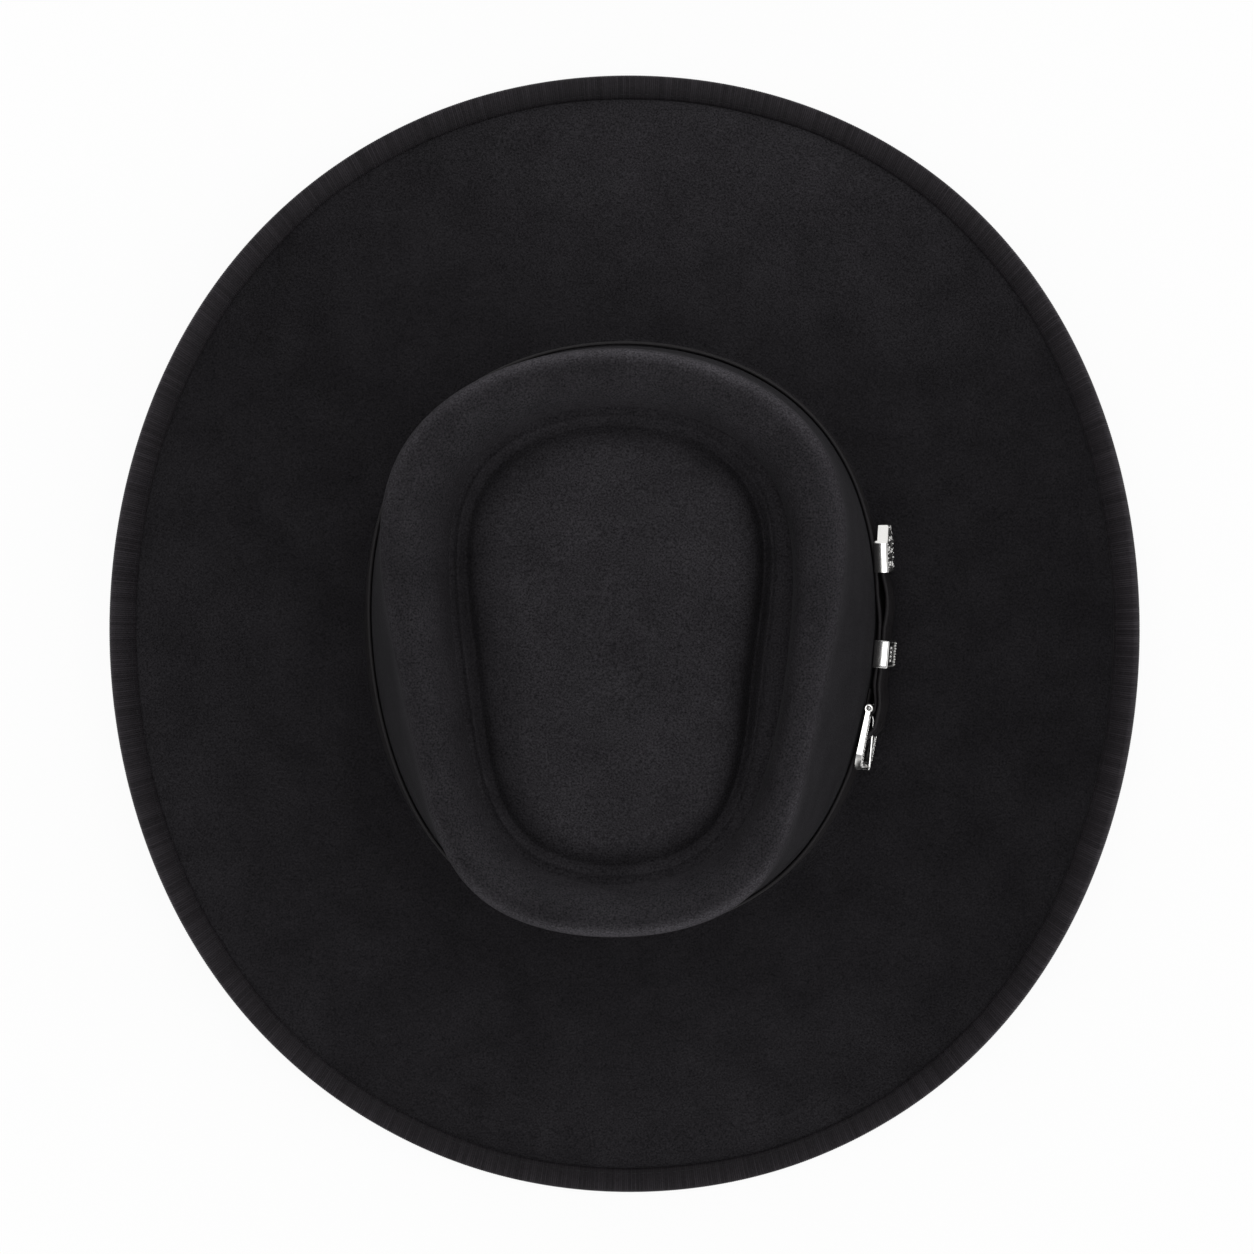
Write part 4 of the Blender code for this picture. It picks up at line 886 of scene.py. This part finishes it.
turn = np.linspace(0, pi, 21)[1:-1]
bend = (CHAPE_TOP + SKIVED / 2 - GAP - CHAPE / 2) / 2
fold = np.c_[BAR_PLACE - (bend + GAP) * sin(turn),
                 GAP + CHAPE / 2 + bend * (1 - cos(turn)),
                 CHAPE + (SKIVED - CHAPE) * turn / pi]
ramp = BAR_PLACE + BAR_PAST
path = [leg(BAR_PLACE + CHAPE_LENGTH, BAR_PLACE, 8, (GAP, GAP), (CHAPE, CHAPE)), fold,
        leg(BAR_PLACE, ramp, 3, (CHAPE_TOP, CHAPE_TOP), (SKIVED, SKIVED))]
place, layer, thick = ramp, CHAPE_TOP, SKIVED
for to_place, count, to_layer, bow in (
        (KEEPER_FRONT, 22, CLOSURE_LAYER, 0.0), (CLOSURE_END, 22, CLOSURE_LAYER, 0.0),
        (SETTLE_END, 18, GAP, 0.0), (GIRTH + CLIMB_START, 300, GAP, 0.0),
        (GIRTH + CLIMB_END, 24, FREE_OVER_BAR, 0.0), (GIRTH + ramp, 8, FREE_OVER_BAR, 0.0),
        (GIRTH + KEEPER_FRONT, 22, FREE_LAYER, 0.0), (GIRTH + KEEPER_BACK, 20, FREE_LAYER, 0.0),
        (GIRTH + TIP_MOUTH - TIP_LEAD, 30, FREE_LAYER, FREE_BOW)):
    path.append(leg(place, to_place, count, (layer, to_layer), (thick, STRAP), bow)[1:])
    place, layer, thick = to_place, to_layer, STRAP
path = np.vstack(path)
across = left_of(path[:, :2]) * path[:, 2:] / 2
side = np.array([0.5, 1, 1, 0.74, 1, 1, 1, 1, 1, 0.74, 1, 1, 0.5, -0.5, -1, -1, -1, -0.5])
rise = np.array([0, 0.35, 1.0, 1.3, 1.6, 4, 7.5, 11, 13.4, 13.7, 14.0, 14.65, 15, 15, 14.65, 7.5, 0.35, 0])
rise = rise * 0.001
places = path[:, None, :2] + side[None, :, None] * across[:, None]
grid = off_wall(angle_at(places[..., 0]), np.broadcast_to(STRAP_LOW + rise, places.shape[:2]), places[..., 1])
tip_axes = strap_axes(TIP_MOUTH, flare=TIP_FLARE)
in_tip = np.linspace(0, TIP_TURN - GAP, 6)[:, None]
end = placed(tip_axes, in_tip, rise - STRAP_TALL / 2, FREE_LAYER + STRAP / 2 * (1 + side))
strap = lofted("band_strap", np.vstack([grid, end]))


def cut_out(piece, cutters):
    """Takes closed shapes out of a piece for good, removes them and keeps the cut edges sharp."""
    for cutter in cutters:
        step = piece.modifiers.new(cutter.name, "BOOLEAN")
        step.operation = "DIFFERENCE"
        step.solver = "EXACT"
        step.object = cutter
    graph = bpy.context.evaluated_depsgraph_get()
    made = bpy.data.meshes.new_from_object(piece.evaluated_get(graph))
    piece.modifiers.clear()
    piece.data = made
    made.set_sharp_from_angle(angle=math.radians(50))
    for cutter in cutters:
        bpy.data.objects.remove(cutter)


def box_cutter(axes, along, half, out):
    """Box in a place's own directions: its reach along, half its height and its reach out."""
    corners = placed(axes, np.reshape(along, (2, 1)), half * np.array([-1, 1, 1, -1]), np.repeat(out, 2))
    return lofted("box_cutter", corners)


turn = round_turn(20)
cutters = [
    box_cutter(strap_axes(BAR_PLACE, BAR_LAYER), CHAPE_SLOT, SLOT_HALF, (-BAR_LAYER, 0.00205)),
    box_cutter(strap_axes(CLIMB_END - 0.0045), FREE_SLOT, SLOT_HALF, (-FREE_LAYER, 0.0086))]
for k in range(4):
    axes = strap_axes(BAR_PLACE + HOLE_SPACING * (k + 1), FREE_LAYER)
    reach = np.array([-0.00015, 0.0026])[:, None]
    hole = placed(axes, HOLE_RADIUS * cos(turn), HOLE_RADIUS * sin(turn), reach)
    cutters.append(lofted("hole_cutter", hole))
cut_out(strap, cutters)
hide = leather_finish("black strap leather", (0.0095, 0.0084, 0.0093), 0.55, scale=1100.0, depth=0.00015)
coat(strap, hide)
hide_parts("hat_band")
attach(strap, "hat")

# Buckle frame: a cast horseshoe of silver-plated metal. Its face carries a row of beads between two plain
# borders in a blackened channel, its far end is hollowed at the edge, and its two ears are bored for the bar.
FRAME_LENGTH = 0.0204
FRAME_GAP = 0.0007
RAIL_WIDTH = 0.0028
RAIL_HEEL = 0.0018
RAIL_FAR = 0.0028
FRAME_HALF = STRAP_TALL / 2 + FRAME_GAP + RAIL_WIDTH / 2
FRAME_CORNER = 0.0040
EAR_RADIUS = 0.0015
BORE_RADIUS = 0.0009
BEAD_PITCH = 0.0015
BEAD_HEIGHT = 0.00080
BEAD_ALONG, BEAD_ACROSS = 0.00070, 0.00088
CHANNEL_DEPTH = 0.00060
CHANNEL_START = 0.0020
HOLLOW_START = 0.0162
HOLLOW_DEPTH = 0.0007
SKIRT = 0.0006
FACE, EDGE = slice(0, 27), slice(27, 32)
INNER_SIDE = slice(36, None)
SILVER, BLACKENED = (0.80, 0.79, 0.77), (0.05, 0.05, 0.05)

bar_centre, _, up, _ = strap_axes(BAR_PLACE, BAR_LAYER)
far_rail = strap_axes(BAR_PLACE - FRAME_LENGTH, GAP + STRAP + FRAME_GAP + RAIL_HEEL / 2)[0]
reach = unit(far_rail - bar_centre)
up = unit(up - reach * np.dot(reach, up))
buckle_axes = (bar_centre, reach, up, np.cross(up, reach))

turn = np.linspace(0, pi / 2, 26)[1:-1]
bend = FRAME_LENGTH - FRAME_CORNER
side_rail = np.c_[np.linspace(-0.97 * EAR_RADIUS, bend, 90), np.full(90, FRAME_HALF)]
corner = np.c_[bend + FRAME_CORNER * sin(turn), FRAME_HALF - FRAME_CORNER * (1 - cos(turn))]
end_rail = np.c_[np.full(80, FRAME_LENGTH), np.linspace(1, -1, 80) * (FRAME_HALF - FRAME_CORNER)]
route = np.vstack([side_rail, corner, end_rail, (corner * [1, -1])[::-1], (side_rail * [1, -1])[::-1]])
sideways = left_of(route)
length = run_length(route)[:, None]
x = route[:, :1]
ear = np.sqrt(np.maximum(EAR_RADIUS ** 2 - x ** 2, 0))
plain = np.where(x > 0, RAIL_HEEL / 2, 0.0)
low = -np.maximum(plain, ear)
high = np.maximum(plain + (RAIL_FAR - RAIL_HEEL) * ramped(x / FRAME_LENGTH), ear)

top = np.linspace(-1, 1, 27)
edge = np.array([0.82, 0.64, 0.46, 0.28, 0.1])
w = np.hstack([top, np.ones(5), [0.85, 0.3, -0.3, -0.85], -np.ones(5)])
level = np.hstack([1 - 0.16 * top ** 6, edge, np.zeros(4), edge[::-1]])
n = low + (high - low) * level
faced = eased((x - CHANNEL_START) / 0.0010)
field = ramped((0.90 - np.abs(top)) / 0.08) * faced
to_bead = (np.mod(length, BEAD_PITCH) - BEAD_PITCH / 2) / BEAD_ALONG
bead = np.sqrt(ramped(1 - to_bead ** 2 - (top * RAIL_WIDTH / 2 / BEAD_ACROSS) ** 2)) * faced
n[:, FACE] += (BEAD_HEIGHT * bead - CHANNEL_DEPTH) * field
hollow = eased((x - HOLLOW_START) / 0.0032) * sin(pi * edge) ** 2
wide = np.broadcast_to(w * RAIL_WIDTH / 2, n.shape).copy()
wide[:, EDGE] += SKIRT * (1 - edge) - HOLLOW_DEPTH * hollow
grid = placed(buckle_axes, x + sideways[:, :1] * wide, route[:, 1:] + sideways[:, 1:] * wide, n)
dark = np.zeros(n.shape)
dark[:, FACE] = field * (1 - ramped(bead * 1.6))
dark[:, EDGE] = hollow
dark[:, INNER_SIDE] = 0.9
buckle = lofted("buckle_horseshoe", grid)
keep_values(buckle, "recess", dark)
turn = round_turn(24)
bore = placed(buckle_axes, BORE_RADIUS * cos(turn), np.array([[-0.030], [0.030]]), BORE_RADIUS * sin(turn))
cut_out(buckle, [lofted("bore_cutter", bore)])


def silver_finish():
    """Polished silver plate with fine wear, blackened in the recesses."""
    made, tree, shader = blank_material("antiqued silver", 0.18, 0.5)
    wear = noise(tree, node(tree, "TexCoord").outputs["Object"], 1500.0, 4.0)
    depth = attribute(tree, "recess")
    set_inputs(tree, shader, {
        "Base Color": blended(tree, depth, SILVER, BLACKENED), "Metallic": 1.0,
        "Roughness": map_range(tree, depth, 0.0, 1.0, 0.17, 0.50),
        "Normal": bumped(tree, wear, 0.06, 0.00005)})
    return made


silver = silver_finish()
coat(buckle, silver)
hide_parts("buckle_frame")
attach(buckle, "hat")

# Buckle bar: a nickel-plated steel pin through the two ears, with domed ends.
# The prong's eye and the strap's fold lie round it.
BAR_RADIUS = 0.0007
BAR_HALF = STRAP_TALL / 2 + FRAME_GAP + RAIL_WIDTH - GAP
BAR_DOME = 0.0004
dome = np.radians([70, 35, 0])
span = BAR_HALF - BAR_DOME * (1 - sin(dome))
span = np.hstack([-span, span[::-1]])[:, None]
girth = BAR_RADIUS * cos(np.hstack([dome, dome[::-1]]))[:, None]
grid = placed(buckle_axes, girth * cos(turn), span, girth * sin(turn))
bar = lofted("buckle_pin", grid)
steel, tree, shader = blank_material("nickel plated steel", 0.28, 0.5)
set_inputs(tree, shader, {"Base Color": (0.62, 0.62, 0.62, 1.0), "Metallic": 1.0})
coat(bar, steel)
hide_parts("buckle_bar")
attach(bar, "hat")

# Buckle tongue: a flat prong of the same plate, curled at its root into an eye round the bar, that lies
# through the strap's slot and rests on the far rail.
TONGUE_LENGTH = FRAME_LENGTH + RAIL_WIDTH / 2
TONGUE_HALF = 0.0008
TONGUE_THICK = 0.0006
EYE_THICK = 0.0004
EYE_LINE = 0.0014
ARM_END = 0.0046
tilt = math.atan2(-RAIL_HEEL / 2 + RAIL_FAR + GAP + TONGUE_THICK, FRAME_LENGTH)
origin, reach, up, out = buckle_axes
ahead = reach * cos(tilt) + out * sin(tilt)
tongue_axes = (origin, ahead, up, out * cos(tilt) - reach * sin(tilt))
arm = np.c_[np.linspace(TONGUE_LENGTH, ARM_END, 30), np.zeros(30)]
bends = np.array([(ARM_END, 0.0), (0.0030, 0.0), (0.0016, -EYE_LINE), (0.0, -EYE_LINE)])
sweep = curve(*bends[:, None, None], np.linspace(0, 1, 16)[1:]).reshape(-1, 2)
curl = np.radians(np.linspace(-90, -330, 36))[1:]
eye = np.c_[EYE_LINE * cos(curl), EYE_LINE * sin(curl)]
line = np.vstack([arm, sweep, eye])
normal = left_of(line)
point = np.sqrt(np.clip((TONGUE_LENGTH - line[:, :1]) / 0.0012, 0.02, 1))
point[len(arm):] = 1.0
thick = EYE_THICK + (TONGUE_THICK - EYE_THICK) * eased((line[:, :1] - 0.0015) / 0.003)
square_u, square_n = rounded(round_turn(20))
offset = thick * point * square_n
grid = placed(tongue_axes, line[:, :1] + normal[:, :1] * offset,
              TONGUE_HALF * (0.35 + 0.65 * point) * square_u, line[:, 1:] + normal[:, 1:] * offset)
tongue = lofted("buckle_prong", grid)
coat(tongue, silver)
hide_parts("buckle_tongue")
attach(tongue, "tongue")

# Keeper: a silver loop that slides on both layers of the strap. Its face has a raised border with scalloped
# inner edges and a row of beads between two leaves in a blackened field.
KEEPER_PLACE = -0.0056
KEEPER_HALF = 0.0048
KEEPER_WALL = 0.0007
KEEPER_BACK_WALL = 0.0005
KEEPER_RELIEF = 0.0010
KEEPER_FIELD = 0.00025
KEEPER_TOP = FREE_LAYER + STRAP + GAP
KEEPER_COLUMNS = 220
BORDER_AT = 0.0040
BORDER_SLOPE = 0.0003
SCALLOP_AT, SCALLOP_DEPTH, SCALLOP_PITCH = 0.0068, 0.0005, 0.0019
LEAF_AT = 0.0036
LEAF, VEIN, BEAD = (0.0032, 0.0014), (0.0028, 0.00035), (0.00072, 0.00095)
SOFTENED = 0.0002


def rounded_box(half, low, high, near, far, count):
    """Even points round a box from low to high, its corners rounded by near behind and far at the face."""
    turn = np.linspace(0, pi / 2, 9)
    sine, cosine = sin(turn), cos(turn)
    back = np.c_[half - near + near * sine, low + near - near * cosine]
    face = np.c_[half - far + far * cosine, high - far + far * sine]
    right = np.vstack([back, face])
    loop = np.vstack([[[0.0, low]], right, (right * [-1, 1])[::-1], [[0.0, low]]])
    length = run_length(loop)
    even = np.arange(count) * length[-1] / count
    return np.interp(even, length, loop[:, 0]), np.interp(even, length, loop[:, 1])


def mound(x, y, rx, ry):
    """Domed bump: the upper half of an ellipsoid."""
    return np.sqrt(ramped(1 - (x / rx) ** 2 - (y / ry) ** 2))


def crowned(n, low, high):
    """Parabola of a side wall's swelling: 1 midway between low and high, 0 at both."""
    return 1 - ((n - (low + high) / 2) / (high - low) * 2) ** 2


loop_half = STRAP_TALL / 2 + GAP
keeper_half = loop_half + KEEPER_WALL
keeper_face = KEEPER_TOP + KEEPER_WALL
outer_u, outer_n = rounded_box(keeper_half, GAP, keeper_face, 0.0003, 0.0006, KEEPER_COLUMNS)
inner_u, inner_n = rounded_box(loop_half, GAP + KEEPER_BACK_WALL, KEEPER_TOP, 0.0002, 0.0003,
                               KEEPER_COLUMNS)
x = np.linspace(-1, 1, 65)[:, None] * KEEPER_HALF
front = ramped((outer_n - KEEPER_TOP) / KEEPER_WALL)
scallop = SCALLOP_AT + SCALLOP_DEPTH * cos(2 * pi * x / SCALLOP_PITCH)
border = ramped((np.abs(x) - BORDER_AT) / BORDER_SLOPE) + ramped((np.abs(outer_u) - scallop) / BORDER_SLOPE)
carved = sum(mound(x - BEAD_PITCH * (k - 1.5), outer_u, *BEAD) for k in range(4))
for sign in (-1, 1):
    from_leaf = outer_u - sign * LEAF_AT
    carved = carved + 0.7 * mound(x, from_leaf, *LEAF) - 0.5 * mound(x, from_leaf, *VEIN)
carved = ramped(np.maximum(carved, ramped(border)))
soft_end = SOFTENED * (np.abs(x) / KEEPER_HALF) ** 12
n = outer_n + (KEEPER_RELIEF * carved - KEEPER_FIELD) * front - soft_end * (outer_n > 0.003)
bulge = SOFTENED * crowned(outer_n, GAP, keeper_face)
u = outer_u * (1 + (bulge - soft_end) / keeper_half)
keeper_axes = strap_axes(KEEPER_PLACE)
inner_x = np.array([KEEPER_HALF, 0.0, -KEEPER_HALF])[:, None]
grid = np.vstack([placed(keeper_axes, x, u, n), placed(keeper_axes, inner_x, inner_u, inner_n)])
keeper = lofted("keeper_loop", grid, wrap_rows=True)
keep_values(keeper, "recess", (1 - ramped(1.5 * carved)) * front)
coat(keeper, silver)
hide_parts("keeper")
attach(keeper, "keeper")

# Strap tip: a silver sheath pressed over the free end of the strap and cut to a blunt point, with sides that
# reach past the strap below. A rope border and a scrolling vine stand up from a blackened field on its face.
TIP_END = 0.0166
TIP_HALF = loop_half + 0.0005
TIP_END_HALF = 0.0030
TIP_LOW = 0.0005
TIP_UNDERSIDE = 0.0019
TIP_FACE = 0.0053
TIP_RELIEF = 0.0010
TIP_FIELD = 0.00030
TIP_BULGE = 0.0003
TIP_COLUMNS = 240
ROPE_AT, ROPE_PITCH, ROPE_WIDTH = 0.0010, 0.0016, 0.00050
VINE_SWING, VINE_PITCH, VINE_WIDTH = 0.0026, 0.0090, 0.00050
SCROLLS = ((-0.0023, 0.0032), (0.0022, -0.0032), (0.0064, 0.0018), (-0.0030, -0.0046), (0.0030, 0.0049))
SCROLL_RADIUS, SCROLL_PITCH = 0.0021, 0.00042

box_u, box_n = rounded_box(TIP_HALF, TIP_LOW, TIP_FACE, 0.0002, 0.0005, TIP_COLUMNS)
pocket_u, pocket_n = rounded_box(loop_half, TIP_UNDERSIDE + 0.0005, KEEPER_TOP, 0.0002, 0.0002, TIP_COLUMNS)
x = np.hstack([np.linspace(0, TIP_TURN, 60), np.linspace(TIP_TURN, TIP_END, 44)[1:]])[:, None]
tall = TIP_HALF + (TIP_END_HALF - TIP_HALF) * ramped((x - TIP_TURN) / (TIP_END - TIP_TURN))
u = box_u / TIP_HALF * (tall + TIP_BULGE * crowned(box_n, TIP_LOW, TIP_FACE))
front = ramped((box_n - (TIP_FACE - 0.0003)) / 0.0003)
steep = cos(math.atan2(TIP_HALF - TIP_END_HALF, TIP_END - TIP_TURN))
to_edge = np.minimum(tall - np.abs(u), np.minimum(x, TIP_END - x))
to_edge = np.where(x > TIP_TURN, np.minimum((tall - np.abs(u)) * steep, TIP_END - x), to_edge)
twist = 0.55 + 0.45 * sin(2 * pi * (x + np.abs(u) + to_edge) / ROPE_PITCH)
rope = bell(to_edge - ROPE_AT, ROPE_WIDTH) * twist
middle_x = x - TIP_TURN / 2
vine = bell(u - VINE_SWING * sin(2 * pi * middle_x / VINE_PITCH), VINE_WIDTH)
for cx, cy in SCROLLS:
    far = np.hypot(middle_x - cx, u - cy)
    swirl = sin(np.arctan2(u - cy, middle_x - cx) - far / SCROLL_PITCH)
    vine = np.maximum(vine, (0.5 + 0.5 * swirl) * ramped((SCROLL_RADIUS - far) / 0.0005))
inside = ramped((to_edge - 0.0017) / 0.0003)
lip = 0.6 * ramped((0.0005 - to_edge) / 0.0002)
carved = ramped(np.maximum(np.maximum(rope, vine * inside), lip))
round_end = 0.0005 * ramped((x - TIP_END + 0.0008) / 0.0008) ** 2
n = box_n + (TIP_RELIEF * carved - TIP_FIELD) * front - round_end * (box_n > TIP_FACE - 0.002)
pocket_x = np.array([TIP_TURN, 0.0])[:, None]
grid = np.vstack([placed(tip_axes, pocket_x, pocket_u, pocket_n), placed(tip_axes, x, u, n)])
tip = lofted("strap_end", grid)
recess = (1 - ramped(1.5 * carved)) * front
keep_values(tip, "recess", np.vstack([np.zeros((2, TIP_COLUMNS)), recess]))
cut_out(tip, [box_cutter(tip_axes, (-0.004, 0.030), loop_half, (-0.004, TIP_UNDERSIDE))])
coat(tip, silver)
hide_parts("strap_tip")
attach(tip, "hat")
